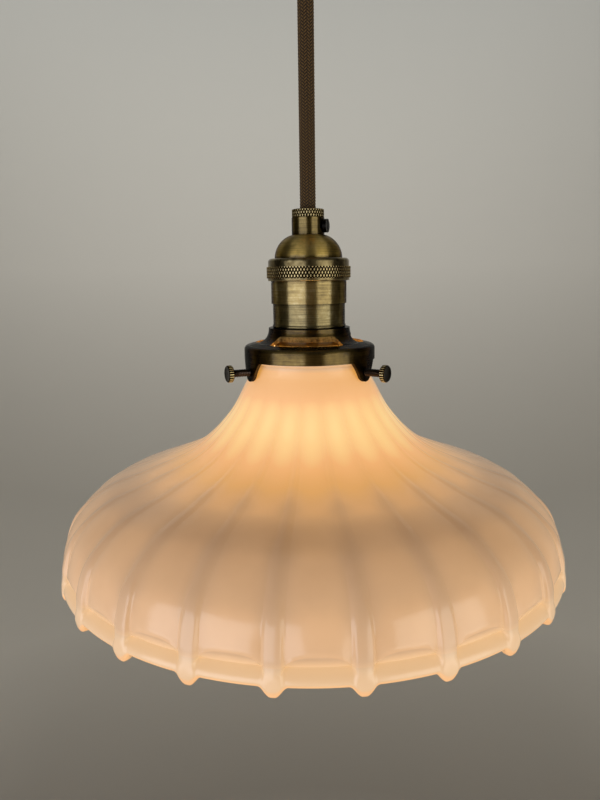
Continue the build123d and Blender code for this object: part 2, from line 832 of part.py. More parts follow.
def sub_parts():
    """Every node of the light by name."""
    nodes = {
        "canopy_cover": canopy_cover(),
        "mounting_bar": mounting_bar(),
        "canopy_studs": canopy_studs(),
        "canopy_cap_nuts": canopy_cap_nuts(),
        "ground_screw": ground_screw(),
        "ceiling_grip": ceiling_grip(),
        "ceiling_grip_nut": lock_nut(canopy_underside + canopy_wall, 1),
        "ceiling_grip_screw": grip_screw(ceiling_screw_level(), cord_radius + fit_gap),
        "cord_tail": cord_tail(),
        "ceiling_live_wire": ceiling_wire(1),
        "ceiling_neutral_wire": ceiling_wire(-1),
        "wire_connectors": wire_connectors(),
        "cord_neck": cord_neck(),
        "cord": cord(),
        "cord_grip_cap": cord_grip_cap(),
        "cord_grip_barrel": cord_grip_barrel(),
        "cord_grip_screw": grip_screw(barrel_screw_level(), cord_bore),
        "cord_grip_nut": lock_nut(dome_top - dome_wall, -1),
        "socket_cap": socket_cap(),
        "socket_ring": socket_ring(),
        "upper_shell": upper_shell(),
        "lower_shell": lower_shell(),
        "insulating_liner": insulating_liner(),
        "socket_base": socket_base(),
        "screw_shell": screw_shell(),
        "centre_contact": centre_contact(),
        "live_terminal_screw": terminal_screw(1),
        "neutral_terminal_screw": terminal_screw(-1),
        "socket_live_wire": socket_wire(1),
        "socket_neutral_wire": socket_wire(-1),
        "shade_holder": shade_holder(),
        "glass_shade": glass_shade(),
        "bulb_contact": bulb_contact(),
        "bulb_insulator": bulb_insulator(),
        "bulb_cap": bulb_cap(),
        "bulb_envelope": bulb_envelope(),
        "bulb_stem": bulb_stem(),
        "bulb_filaments": bulb_filaments(),
    }
    for number, azimuth in enumerate(arm_azimuths(), start=1):
        nodes[f"thumb_screw_{number}_shank"] = thumb_shank(azimuth)
        nodes[f"thumb_screw_{number}_head"] = thumb_head(azimuth)
    return nodes


def write_parts():
    """Write one STEP file for each node."""
    os.makedirs("parts", exist_ok=True)
    for name, shape in sub_parts().items():
        if isinstance(shape, list):
            shape = Compound(children=shape)
        export_step(shape, f"parts/{name}.step")


write_parts()
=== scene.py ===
import json
import logging
import math
from abc import ABC, abstractmethod
from collections.abc import Callable, Sequence
from dataclasses import dataclass, field
from enum import Enum

import bpy
from bpy.types import Material, Node, NodeSocket, NodeTree, Object
from mathutils import Matrix, Quaternion, Vector


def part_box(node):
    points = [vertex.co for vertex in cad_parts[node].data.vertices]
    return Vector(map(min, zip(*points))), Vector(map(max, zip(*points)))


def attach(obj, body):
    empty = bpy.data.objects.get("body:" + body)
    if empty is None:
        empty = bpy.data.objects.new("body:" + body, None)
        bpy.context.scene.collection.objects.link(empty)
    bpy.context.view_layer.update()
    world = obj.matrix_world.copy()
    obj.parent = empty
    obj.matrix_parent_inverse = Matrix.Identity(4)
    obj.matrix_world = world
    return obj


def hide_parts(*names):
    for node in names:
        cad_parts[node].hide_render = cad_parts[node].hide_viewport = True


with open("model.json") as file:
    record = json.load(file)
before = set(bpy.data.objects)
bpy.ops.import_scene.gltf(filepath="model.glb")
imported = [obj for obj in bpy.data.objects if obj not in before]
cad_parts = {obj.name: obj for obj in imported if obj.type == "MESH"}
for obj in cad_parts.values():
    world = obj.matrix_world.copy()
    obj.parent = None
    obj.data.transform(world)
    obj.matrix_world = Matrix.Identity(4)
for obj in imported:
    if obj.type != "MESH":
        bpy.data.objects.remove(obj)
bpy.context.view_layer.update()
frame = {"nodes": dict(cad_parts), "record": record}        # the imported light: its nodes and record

# Pendant ceiling light. Sizes are in millimetres unless a name says otherwise, heights are below the ceiling
# and an azimuth is in degrees from the front, positive towards +X.

MM = 0.001
SHARP_ANGLE = math.radians(32)
QUARTER_TURN = 0.25
GLASS_IOR = 1.5
# Radii just inside and outside the holder's vent slots, and how far up its polished top faces at the least
VENT_RADII = (19.2, 25.4)
STEEPEST_TOP = 0.3
LOG = logging.getLogger("pendant_light")

Point = tuple[float, float]
Outline = list[Point]
# Where a gradual change starts and the stretch it takes, and the values before and after it
Run = tuple[float, float]
Change = tuple[float, float]


class Body(Enum):
    """Moving bodies that the pieces of this scene ride on."""

    CORD = "hanging_cord"
    LAMP = "lamp"
    BULB = "bulb_glass"


class Slot(Enum):
    """Material slots of the record for the solids that the pieces of this scene stand in for."""

    BRASS = "antique_brass"
    CLOTH = "braided_cloth"
    OPAL = "opal_glass"
    BULB = "bulb_glass"


def linear(colour: str) -> tuple[float, float, float, float]:
    """Turn an sRGB hex colour into linear light.

    Args:
        colour: Colour such as "#a08850".

    Returns:
        Linear red, green and blue, and an alpha of one.
    """
    shares = [int(colour[i:i + 2], 16) / 255 for i in (1, 3, 5)]
    bright = [s / 12.92 if s <= 0.04045 else ((s + 0.055) / 1.055) ** 2.4 for s in shares]
    return bright[0], bright[1], bright[2], 1.0


def per_metre(size: float) -> float:
    """Give the texture scale that repeats every so many millimetres."""
    return 1 / (size * MM)


def add_node(tree: NodeTree, kind: str, settings: dict | None = None, inputs: dict | None = None,
             stops: Sequence[tuple[float, str]] = ()) -> Node:
    """Add a shader node, set it up and link it.

    Args:
        tree: Node tree that takes the node.
        kind: Type of node, without the ShaderNode before it.
        settings: Properties of the node by name.
        inputs: Values, or sockets to link, by the input's name or number.
        stops: Places and hex colours of a colour ramp.

    Returns:
        The new node.
    """
    node = tree.nodes.new("ShaderNode" + kind)
    for key, value in (settings or {}).items():
        setattr(node, key, value)
    for key, value in (inputs or {}).items():
        if isinstance(value, NodeSocket):
            tree.links.new(value, node.inputs[key])
        else:
            node.inputs[key].default_value = value
    for i, (place, colour) in enumerate(stops):
        ramp = node.color_ramp.elements
        stop = ramp[i] if i < 2 else ramp.new(place)
        stop.position = place
        stop.color = linear(colour)
    return node


def ease(share: float) -> float:
    """Give a smooth step from 0 to 1 for a share, held outside that range."""
    share = min(max(share, 0.0), 1.0)
    return share * share * (3 - 2 * share)


def ease_over(value: float, run: Run) -> float:
    """Give a smooth step from 0 to 1 for a value, over a run."""
    return ease((value - run[0]) / run[1])


def between(start: float, end: float, share: float) -> float:
    """Give the value at a share of the way from start to end."""
    return start + (end - start) * share


def spline_through(points: Sequence[Point], steps: int) -> Outline:
    """Smooth curve through every point of an outline.

    Args:
        points: Points of radius and height.
        steps: Number of short runs between two points.

    Returns:
        Points along the curve, with both ends.
    """
    line = [Vector(p) for p in points]
    line = [2 * line[0] - line[1], *line, 2 * line[-1] - line[-2]]
    curve: Outline = []
    for before, a, b, after in zip(line, line[1:], line[2:], line[3:]):
        gaps = [math.sqrt((q - p).length) for p, q in ((before, a), (a, b), (b, after))]
        start = ((a - before) / gaps[0] - (b - before) / (gaps[0] + gaps[1]) + (b - a) / gaps[1]) * gaps[1]
        end = ((b - a) / gaps[1] - (after - a) / (gaps[1] + gaps[2]) + (after - b) / gaps[2]) * gaps[1]
        for i in range(steps):
            t = i / steps
            bend = (2 * a - 2 * b + start + end) * t**3 + (3 * b - 3 * a - 2 * start - end) * t**2
            curve.append(tuple(bend + start * t + a))
    return curve + [tuple(points[-1])]


def arc(centre: Point, radius: float, start: float, end: float, steps: int) -> Outline:
    """Points of an arc from one angle in degrees to another, with both ends."""
    angles = [math.radians(between(start, end, i / steps)) for i in range(steps + 1)]
    return [(centre[0] + radius * math.cos(a), centre[1] + radius * math.sin(a)) for a in angles]


def moved_out(outline: Sequence[Point], distance: Callable[[int], float]) -> Outline:
    """Move the points of an outline square to it.

    Args:
        outline: Points of radius and height that run downwards on the outside.
        distance: Distance outward for the number of a point.

    Returns:
        The moved points.
    """
    moved: Outline = []
    for i, (radius, height) in enumerate(outline):
        before = outline[max(i - 1, 0)]
        after = outline[min(i + 1, len(outline) - 1)]
        run = Vector((after[0] - before[0], after[1] - before[1])).normalized()
        moved.append((radius - distance(i) * run.y, height + distance(i) * run.x))
    return moved


def around(radius: float, height: float, azimuth: float) -> Vector:
    """Point at a radius, a height and an azimuth in radians."""
    return Vector((radius * math.sin(azimuth), -radius * math.cos(azimuth), height))


def span(node: str) -> tuple[float, float]:
    """Lowest and highest level of a solid of the light, in millimetres."""
    low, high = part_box(node)
    return low.z / MM, high.z / MM


@dataclass
class Sketch:
    """Mesh under way: points in millimetres, faces and values that its finish reads at each point."""

    points: list[Vector] = field(default_factory=list)
    faces: list[tuple[int, ...]] = field(default_factory=list)
    values: dict[str, list[float]] = field(default_factory=dict)

    def add_grid(self, rows: Sequence[Sequence[Vector]], close_rows: bool = False,
                 close_columns: bool = True, **values: Sequence[Sequence[float]]) -> None:
        """Add a grid of faces.

        Args:
            rows: Rows of points, all with as many points.
            close_rows: Whether the last row joins the first.
            close_columns: Whether each row is a loop.
            **values: Values for the finish, one for each point.
        """
        first = len(self.points)
        wide = len(rows[0])
        for row in rows:
            self.points.extend(row)
        for key, table in values.items():
            self.values.setdefault(key, []).extend(value for row in table for value in row)
        for k in range(len(rows) if close_rows else len(rows) - 1):
            low, high = first + k * wide, first + (k + 1) % len(rows) * wide
            for i in range(wide if close_columns else wide - 1):
                j = (i + 1) % wide
                self.faces.append((low + i, low + j, high + j, high + i))

    def add_fan(self, centre: Vector, ring: Sequence[int], **values: float) -> None:
        """Close a ring of points, given by number, with a fan of faces about a centre."""
        self.points.append(centre)
        for key, value in values.items():
            self.values.setdefault(key, []).append(value)
        top = len(self.points) - 1
        self.faces += [(ring[i], ring[(i + 1) % len(ring)], top) for i in range(len(ring))]

    def make(self, name: str, finish: "Finish", place: Matrix | None = None) -> Object:
        """Make the mesh an object.

        Args:
            name: Name of the piece.
            finish: Finish of its surface.
            place: Turn and shift of the sketch, in millimetres.

        Returns:
            The new object, in metres.
        """
        where = place or Matrix.Identity(4)
        mesh = bpy.data.meshes.new(name)
        mesh.from_pydata([where @ p * MM for p in self.points], [], self.faces)
        for key, values in self.values.items():
            mesh.attributes.new(key, "FLOAT", "POINT").data.foreach_set("value", values)
        mesh.shade_smooth()
        mesh.set_sharp_from_angle(angle=SHARP_ANGLE)
        mesh.materials.append(finish.material())
        piece = bpy.data.objects.new(name, mesh)
        bpy.context.scene.collection.objects.link(piece)
        return piece


def turned(outline: Sequence[Point], segments: int = 160, closed: bool = True) -> Sketch:
    """Sketch a shape turned about the lamp's axis.

    Args:
        outline: Points of radius and height.
        segments: Number of points in each ring.
        closed: Whether the outline's last point joins its first.

    Returns:
        The sketch.
    """
    turn = 2 * math.pi / segments
    rings = [[around(r, z, turn * i) for i in range(segments)] for r, z in outline]
    sketch = Sketch()
    sketch.add_grid(rings, close_rows=closed)
    return sketch


def fit(piece: Object, body: str, slot: Slot, *nodes: str) -> None:
    """Let a piece ride on a body in place of the body's plain solids.

    Args:
        piece: The piece.
        body: Name of the body.
        slot: Material slot of the record; not used.
        *nodes: Names of the solids that it stands for.
    """
    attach(piece, body)
    if nodes:
        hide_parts(*nodes)
    LOG.info("%s rides on %s", piece.name, body)


@dataclass(frozen=True)
class Finish(ABC):
    """Finish of a surface, made into one material on its first use."""

    name: str

    def material(self) -> Material:
        """Give the finish's material."""
        made = bpy.data.materials.get(self.name)
        if made is None:
            made = bpy.data.materials.new(self.name)
            made.use_nodes = True
            tree = made.node_tree
            tree.nodes.clear()
            add_node(tree, "OutputMaterial", inputs={"Surface": self.surface(tree)})
        return made

    @abstractmethod
    def surface(self, tree: NodeTree) -> NodeSocket:
        """Lay out the finish's nodes and give the shader's output."""


@dataclass(frozen=True)
class BrushedBrass(Finish):
    """Brass that is turned, brushed round its axis and darkened in an antiquing bath.

    The eye sees an olive brown metal with fine lines round it, soft stripes of light along it, a darker
    skin in its corners and thin bright metal where the skin is rubbed off. The corners are darkened by
    ambient occlusion: patina where the reach is short, painted shade where it is long.
    """

    skin: str = "#37270f"
    metal: str = "#b09a63"
    rubbed: str = "#ebdfb4"
    edge: str = "#1c1206"
    # Real brushing is about 0.05 mm apart, too fine to show, so it is drawn ten times as coarse.
    brush_gap: float = 0.5
    brush_length: float = 14.0
    brush_wear: float = 0.55
    groove_depth: float = 0.1
    stain_size: float = 7.0
    # How far the ambient occlusion reaches: a short reach darkens tight corners as patina, a long one paints shade
    # into hollows
    patina_and_shade_reach: float = 1.6
    bare_from: float = 0.3
    bare_at: float = 1.25
    roughness: float = 0.33
    ridge_gloss: float = 0.05
    groove_dullness: float = 0.07
    lacquer: float = 0.4

    def surface(self, tree: NodeTree) -> NodeSocket:
        """Lay out the finish's nodes and give the shader's output."""
        place = add_node(tree, "TexCoord").outputs["Object"]
        along = (per_metre(self.brush_length), per_metre(self.brush_length), per_metre(self.brush_gap))
        lines = add_node(tree, "Mapping", inputs={"Vector": place, "Scale": along})
        brushing = add_node(tree, "TexNoise", inputs={
            "Vector": lines.outputs[0], "Scale": 1.0, "Detail": 3.0})
        stain = add_node(tree, "TexNoise", inputs={
            "Vector": place, "Scale": per_metre(self.stain_size), "Detail": 5.0, "Roughness": 0.62})
        # Ambient occlusion darkens the skin: patina in tight corners, painted shade where the reach is long
        corner = add_node(tree, "AmbientOcclusion", {"samples": 6}, {"Distance": self.patina_and_shade_reach * MM})
        mixed = add_node(tree, "Math", {"operation": "MULTIPLY_ADD"}, {
            0: brushing.outputs["Fac"], 1: self.brush_wear, 2: stain.outputs["Fac"]})
        open_share = add_node(tree, "Math", {"operation": "MULTIPLY"}, {
            0: mixed.outputs[0], 1: corner.outputs["AO"]})
        wear = add_node(tree, "MapRange", inputs={
            "Value": open_share.outputs[0], "From Min": self.bare_from, "From Max": self.bare_at})
        colour = add_node(tree, "ValToRGB", inputs={"Fac": wear.outputs[0]}, stops=[
            (0.0, self.skin), (0.55, self.metal), (1.0, self.rubbed)])
        dull = add_node(tree, "MapRange", inputs={
            "Value": brushing.outputs["Fac"], "From Min": 0.3, "From Max": 0.7,
            "To Min": self.roughness + self.groove_dullness, "To Max": self.roughness - self.ridge_gloss})
        grooves = add_node(tree, "Bump", inputs={
            "Strength": 0.12, "Distance": self.groove_depth * MM, "Height": brushing.outputs["Fac"]})
        grain = add_node(tree, "Tangent", {"direction_type": "RADIAL", "axis": "Z"})
        return add_node(tree, "BsdfPrincipled", inputs={
            "Base Color": colour.outputs[0], "Metallic": 1.0, "Roughness": dull.outputs[0],
            "Anisotropic": 0.9, "Anisotropic Rotation": QUARTER_TURN, "Tangent": grain.outputs[0],
            "Normal": grooves.outputs[0], "Specular Tint": linear(self.edge), "Coat Weight": self.lacquer,
            "Coat Roughness": 0.15}).outputs[0]


@dataclass(frozen=True)
class KnurledBrass(Finish):
    """Antiqued brass with a rolled diamond knurl whose tips are rubbed bright.

    The eye sees yellow points of light on the tips and near black in the valleys.
    """

    valley: str = "#100a04"
    flank: str = "#3d2f16"
    tip: str = "#dfcb95"
    stain_size: float = 3.0
    stain_wear: float = 0.2
    roughness: float = 0.28
    stain_dullness: float = 0.1

    def surface(self, tree: NodeTree) -> NodeSocket:
        """Lay out the finish's nodes and give the shader's output."""
        place = add_node(tree, "TexCoord").outputs["Object"]
        stain = add_node(tree, "TexNoise", inputs={
            "Vector": place, "Scale": per_metre(self.stain_size), "Detail": 4.0})
        rub = add_node(tree, "Attribute", {"attribute_name": "rub"})
        patchy = add_node(tree, "Math", {"operation": "MULTIPLY_ADD"}, {
            0: stain.outputs["Fac"], 1: self.stain_wear, 2: -self.stain_wear / 2})
        worn = add_node(tree, "Math", {"operation": "ADD"}, {0: patchy.outputs[0], 1: rub.outputs["Fac"]})
        colour = add_node(tree, "ValToRGB", inputs={"Fac": worn.outputs[0]}, stops=[
            (0.0, self.valley), (0.8, self.flank), (1.0, self.tip)])
        dull = add_node(tree, "MapRange", inputs={
            "Value": stain.outputs["Fac"], "To Min": self.roughness,
            "To Max": self.roughness + self.stain_dullness})
        grain = add_node(tree, "Tangent", {"direction_type": "RADIAL", "axis": "Z"})
        return add_node(tree, "BsdfPrincipled", inputs={
            "Base Color": colour.outputs[0], "Metallic": 1.0, "Roughness": dull.outputs[0],
            "Anisotropic": 0.8, "Anisotropic Rotation": QUARTER_TURN,
            "Tangent": grain.outputs[0]}).outputs[0]


@dataclass(frozen=True)
class PressedOpalGlass(Finish):
    """Opal glass pressed in a mould, fire polished and lit by the bulb behind it.

    The eye sees a milky warm glow, strongest where the glass is near the bulb, greyer in the thick ribs,
    under a glassy skin with small flow marks. The glow is painted light: an emission from the glow worked
    out for each point, which stands in for the bulb's light shining through the glass.
    """

    milk: str = "#9c9791"
    cream: str = "#a8a29a"
    # Painted glow colour of the rim band, mixed into the emission where the rim band's glow is set
    rim: str = "#d0a36c"
    # Colours of the painted glow, from dim to bright
    glow: tuple[tuple[float, str], ...] = (
        (0.1, "#7c501a"), (1.0, "#f6ce7c"), (0.24, "#a07039"), (0.33, "#b48044"), (0.4, "#c78d49"),
        (0.52, "#d4943e"), (0.8, "#e7a04e"), (0.94, "#f2be6a"))
    cloud_size: float = 26.0
    cloud_share: float = 0.06
    ripple_size: float = 9.0
    ripple_depth: float = 0.6
    strength: float = 1.0

    def surface(self, tree: NodeTree) -> NodeSocket:
        """Lay out the finish's nodes and give the shader's output."""
        place = add_node(tree, "TexCoord").outputs["Object"]
        cloud = add_node(tree, "TexNoise", inputs={
            "Vector": place, "Scale": per_metre(self.cloud_size), "Detail": 3.0})
        ripple = add_node(tree, "TexNoise", inputs={
            "Vector": place, "Scale": per_metre(self.ripple_size), "Detail": 2.0})
        # Painted glow worked out for each point of the shade's wall
        glow = add_node(tree, "Attribute", {"attribute_name": "glow"})
        drift = add_node(tree, "Math", {"operation": "MULTIPLY_ADD"}, {
            0: cloud.outputs["Fac"], 1: self.cloud_share, 2: -self.cloud_share / 2})
        light = add_node(tree, "Math", {"operation": "ADD"}, {0: drift.outputs[0], 1: glow.outputs["Fac"]})
        shine = add_node(tree, "ValToRGB", inputs={"Fac": light.outputs[0]}, stops=self.glow)
        # Painted glow line on the rim band, in its own colour
        piped = add_node(tree, "Attribute", {"attribute_name": "piped"})
        shine = add_node(tree, "MixRGB", inputs={
            "Fac": piped.outputs["Fac"], "Color1": shine.outputs[0], "Color2": linear(self.rim)})
        tint = add_node(tree, "ValToRGB", inputs={"Fac": cloud.outputs["Fac"]}, stops=[
            (0.3, self.milk), (0.7, self.cream)])
        skin = add_node(tree, "Bump", inputs={
            "Strength": 0.12, "Distance": self.ripple_depth * MM, "Height": ripple.outputs["Fac"]})
        return add_node(tree, "BsdfPrincipled", inputs={
            "Base Color": tint.outputs[0], "Roughness": 0.5, "IOR": GLASS_IOR, "Normal": skin.outputs[0],
            "Emission Color": shine.outputs[0], "Emission Strength": self.strength, "Coat Weight": 1.0,
            "Coat Roughness": 0.16, "Coat IOR": GLASS_IOR, "Coat Normal": skin.outputs[0]}).outputs[0]


@dataclass(frozen=True)
class FrostedGlow(Finish):
    """Bulb glass frosted inside with silica and lit by its filaments.

    The eye sees an even warm white, a little deeper at the neck.
    """

    hot: str = "#ffdca6"
    cool: str = "#f2b96c"
    strength: float = 13.0
    frost_size: float = 1.2

    def surface(self, tree: NodeTree) -> NodeSocket:
        """Lay out the finish's nodes and give the shader's output."""
        place = add_node(tree, "TexCoord").outputs["Object"]
        frost = add_node(tree, "TexNoise", inputs={"Vector": place, "Scale": per_metre(self.frost_size)})
        light = add_node(tree, "ValToRGB", inputs={"Fac": frost.outputs["Fac"]}, stops=[
            (0.2, self.cool), (0.8, self.hot)])
        return add_node(tree, "BsdfPrincipled", inputs={
            "Base Color": light.outputs[0], "Roughness": 0.35, "IOR": GLASS_IOR,
            "Emission Color": light.outputs[0], "Emission Strength": self.strength}).outputs[0]


@dataclass(frozen=True)
class Coated(Finish):
    """Skin of two near colours with a fine texture, such as enamel, plating, plastic or glaze."""

    light: str
    dark: str
    grain: float
    roughness: float
    metallic: float = 0.0
    relief: float = 0.02
    unevenness: float = 0.25

    def surface(self, tree: NodeTree) -> NodeSocket:
        """Lay out the finish's nodes and give the shader's output."""
        place = add_node(tree, "TexCoord").outputs["Object"]
        grain = add_node(tree, "TexNoise", inputs={
            "Vector": place, "Scale": per_metre(self.grain), "Detail": 5.0})
        colour = add_node(tree, "ValToRGB", inputs={"Fac": grain.outputs["Fac"]}, stops=[
            (0.3, self.dark), (0.7, self.light)])
        dull = add_node(tree, "MapRange", inputs={
            "Value": grain.outputs["Fac"], "To Min": self.roughness * (1 - self.unevenness),
            "To Max": self.roughness * (1 + self.unevenness)})
        bump = add_node(tree, "Bump", inputs={
            "Strength": 0.3, "Distance": self.relief * MM, "Height": grain.outputs["Fac"]})
        return add_node(tree, "BsdfPrincipled", inputs={
            "Base Color": colour.outputs[0], "Roughness": dull.outputs[0], "Metallic": self.metallic,
            "Normal": bump.outputs[0]}).outputs[0]


@dataclass(frozen=True)
class BraidedCotton(Finish):
    """Cotton yarn, dyed brown and braided over the cord.

    The eye sees matt brown strands with paler threads along them and a soft sheen at their edges. The top
    of each strand is painted paler as it rises over a crossing, a painted highlight, and fades to the deep colour
    where it dips under.
    """

    deep: str = "#0f0803"
    pale: str = "#725323"
    # Real yarn has threads of about 0.1 mm. They are drawn three times as coarse to show at all.
    thread: float = 0.3
    thread_depth: float = 0.08
    fuzz_share: float = 0.5

    def surface(self, tree: NodeTree) -> NodeSocket:
        """Lay out the finish's nodes and give the shader's output."""
        place = add_node(tree, "TexCoord").outputs["Object"]
        fuzz = add_node(tree, "TexNoise", inputs={
            "Vector": place, "Scale": per_metre(self.thread), "Detail": 3.0})
        # Painted highlight on the crest of each strand
        tone = add_node(tree, "Attribute", {"attribute_name": "tone"})
        mixed = add_node(tree, "Math", {"operation": "MULTIPLY_ADD"}, {
            0: fuzz.outputs["Fac"], 1: self.fuzz_share, 2: tone.outputs["Fac"]})
        colour = add_node(tree, "ValToRGB", inputs={"Fac": mixed.outputs[0]}, stops=[
            (0.36, self.deep), (1.0, self.pale)])
        bump = add_node(tree, "Bump", inputs={
            "Strength": 0.5, "Distance": self.thread_depth * MM, "Height": fuzz.outputs["Fac"]})
        return add_node(tree, "BsdfPrincipled", inputs={
            "Base Color": colour.outputs[0], "Roughness": 0.85, "Sheen Weight": 0.05,
            "Sheen Roughness": 0.5, "Normal": bump.outputs[0]}).outputs[0]


@dataclass(frozen=True)
class StagePaint(Finish):
    """Flat paint on the stage, with painted light and shade in a soft gradient over the floor and wall."""

    near: float = 1050.0
    far: float = 2550.0
    # Painted light and shade by distance from the origin: darker in the middle of the floor, brightest where the
    # floor curves up into the wall, darker high on the wall
    tones: tuple[tuple[float, str], ...] = (
        (0.0, "#a8a196"), (1.0, "#9e9d97"), (0.18, "#ebe4d7"), (0.4, "#e7e0d3"), (0.68, "#dfdacf"),
        (0.85, "#c1beb5"))

    def surface(self, tree: NodeTree) -> NodeSocket:
        """Lay out the finish's nodes and give the shader's output."""
        place = add_node(tree, "TexCoord").outputs["Object"]
        away = add_node(tree, "VectorMath", {"operation": "LENGTH"}, {0: place})
        share = add_node(tree, "MapRange", inputs={
            "Value": away.outputs["Value"], "From Min": self.near * MM, "From Max": self.far * MM})
        colour = add_node(tree, "ValToRGB", inputs={"Fac": share.outputs[0]}, stops=self.tones)
        return add_node(tree, "BsdfPrincipled", inputs={
            "Base Color": colour.outputs[0], "Roughness": 0.9}).outputs[0]


ANTIQUE_BRASS = BrushedBrass("antique_brass_brushed")
BARREL_BRASS = BrushedBrass("antique_brass_barrel", metal="#83703f", rubbed="#b8a470")
# Lit copy: the dome's paler metal paints in a broad highlight
DOME_BRASS = BrushedBrass("antique_brass_dome", metal="#cfb163", rubbed="#efd997", roughness=0.44)
# The holder's long occlusion reach paints shade into its vent slots and round its collar
HOLDER_BRASS = BrushedBrass("antique_brass_holder", skin="#43361f", metal="#7a6638", rubbed="#ac9663",
                            patina_and_shade_reach=16.0, bare_from=0.55, lacquer=0.25)
SHELL_BRASS = BrushedBrass("antique_brass_lower_shell", skin="#2a2216", metal="#968659", rubbed="#d6c99f")
THREAD_BRASS = BrushedBrass("antique_brass_threaded", skin="#1a1008", metal="#4c3826", rubbed="#7a5e3c")
KNURLED_BRASS = KnurledBrass("antique_brass_knurled")
OPAL_GLASS = PressedOpalGlass("opal_glass_pressed")
FROSTED_BULB = FrostedGlow("bulb_glass_frosted")
BRAID = BraidedCotton("cotton_braided")
BRAID_CORE = BraidedCotton("cotton_core", deep="#0d0805", pale="#20150c")
STAGE_PAINT = StagePaint("wall_paint_flat")
# Raw yellow brown metal, dull from the cutter
CUT_BRASS = Coated("brass_cut_bare", "#8c7040", "#44351d", 1.5, 0.5, 1.0)
# Deep matt black that gives nothing back
CARD_CLOTH = Coated("card_black_flocked", "#0c0805", "#080503", 2.0, 0.9)

# Finish of each slot's solids that stay as they are
SLOT_FINISHES: dict[str, Finish] = {
    "antique_brass": ANTIQUE_BRASS,
    # Oily black with a dull shine
    "blackened_steel": Coated("steel_blackened", "#1b1917", "#0c0b0a", 0.8, 0.38, 1.0),
    # Pale cool grey, slightly mottled
    "zinc_plated_steel": Coated("steel_zinc_plated", "#b9babb", "#8f9092", 3.0, 0.36, 1.0),
    # Even green with a hard gloss
    "green_enamel": Coated("steel_green_enamelled", "#1f7a3c", "#17622f", 2.0, 0.3),
    "braided_cloth": BRAID,
    # Extruded plastic with a soft shine, black on the live side and ivory on the other
    "black_wire": Coated("wire_skin_black", "#1c1c1c", "#121212", 0.6, 0.45),
    "white_wire": Coated("wire_skin_white", "#e6e2d6", "#d8d3c5", 0.6, 0.45),
    # Bright orange, satin from the mould
    "connector_plastic": Coated("connector_moulded_orange", "#d9641e", "#c25516", 1.5, 0.35),
    # Clean yellow metal with the soft streaks of the rolls
    "plain_brass": Coated("brass_rolled", "#dcb566", "#b48c45", 2.5, 0.28, 1.0),
    # Grey brown and matt, with short fibres
    "vulcanised_fibre": Coated("fibre_vulcanised", "#6a5f55", "#4d453e", 0.7, 0.8),
    # Warm white under a clear gloss
    "porcelain": Coated("porcelain_glazed", "#f1eee6", "#e4dfd3", 5.0, 0.14),
    "opal_glass": OPAL_GLASS,
    "bulb_glass": FROSTED_BULB,
    # Silvery and bright
    "bulb_metal": Coated("bulb_cap_nickel_plated", "#cfccc5", "#a8a59f", 1.6, 0.25, 1.0),
    # Black with a sharp gloss
    "black_glass": Coated("glass_black", "#141416", "#0b0b0d", 3.0, 0.12),
    # Yellow rods, too bright to show a surface
    "filament": FrostedGlow("filament_phosphor", hot="#ffd27a", cool="#ffb84a", strength=14.0),
}

# Brass pieces with their own copy of the finish: a lit copy for the dome, paler and duller, whose pale metal
# paints in a broad highlight, darker copies for the barrel and lower shell, and a darker holder with painted shade
PIECE_FINISHES: dict[str, Finish] = {
    "cord_grip_barrel": BARREL_BRASS, "socket_cap": DOME_BRASS, "lower_shell": SHELL_BRASS,
    "shade_holder": HOLDER_BRASS}


def bare_cut_edges(holder: Object) -> None:
    """Leave the cut walls of the holder's vent slots, and what shows inside them, in bare brass."""
    inner, outer = VENT_RADII
    holder.data.materials.append(CUT_BRASS.material())
    for face in holder.data.polygons:
        centre = holder.matrix_world @ face.center / MM
        facing_up = (holder.matrix_world.to_3x3() @ face.normal).z
        if facing_up < STEEPEST_TOP and inner < math.hypot(centre.x, centre.y) < outer:
            face.material_index = 1


def dress_solids() -> None:
    """Give each solid of the light the finish of its slot."""
    slots = {part["node"]: part["material_slot"] for part in frame["record"]["subparts"]}
    for node, piece in frame["nodes"].items():
        finish = PIECE_FINISHES.get(node, SLOT_FINISHES[slots[node]])
        for place in piece.material_slots:
            place.material = finish.material()
        LOG.info("%s is dressed in %s", node, finish.name)
    bare_cut_edges(frame["nodes"]["shade_holder"])


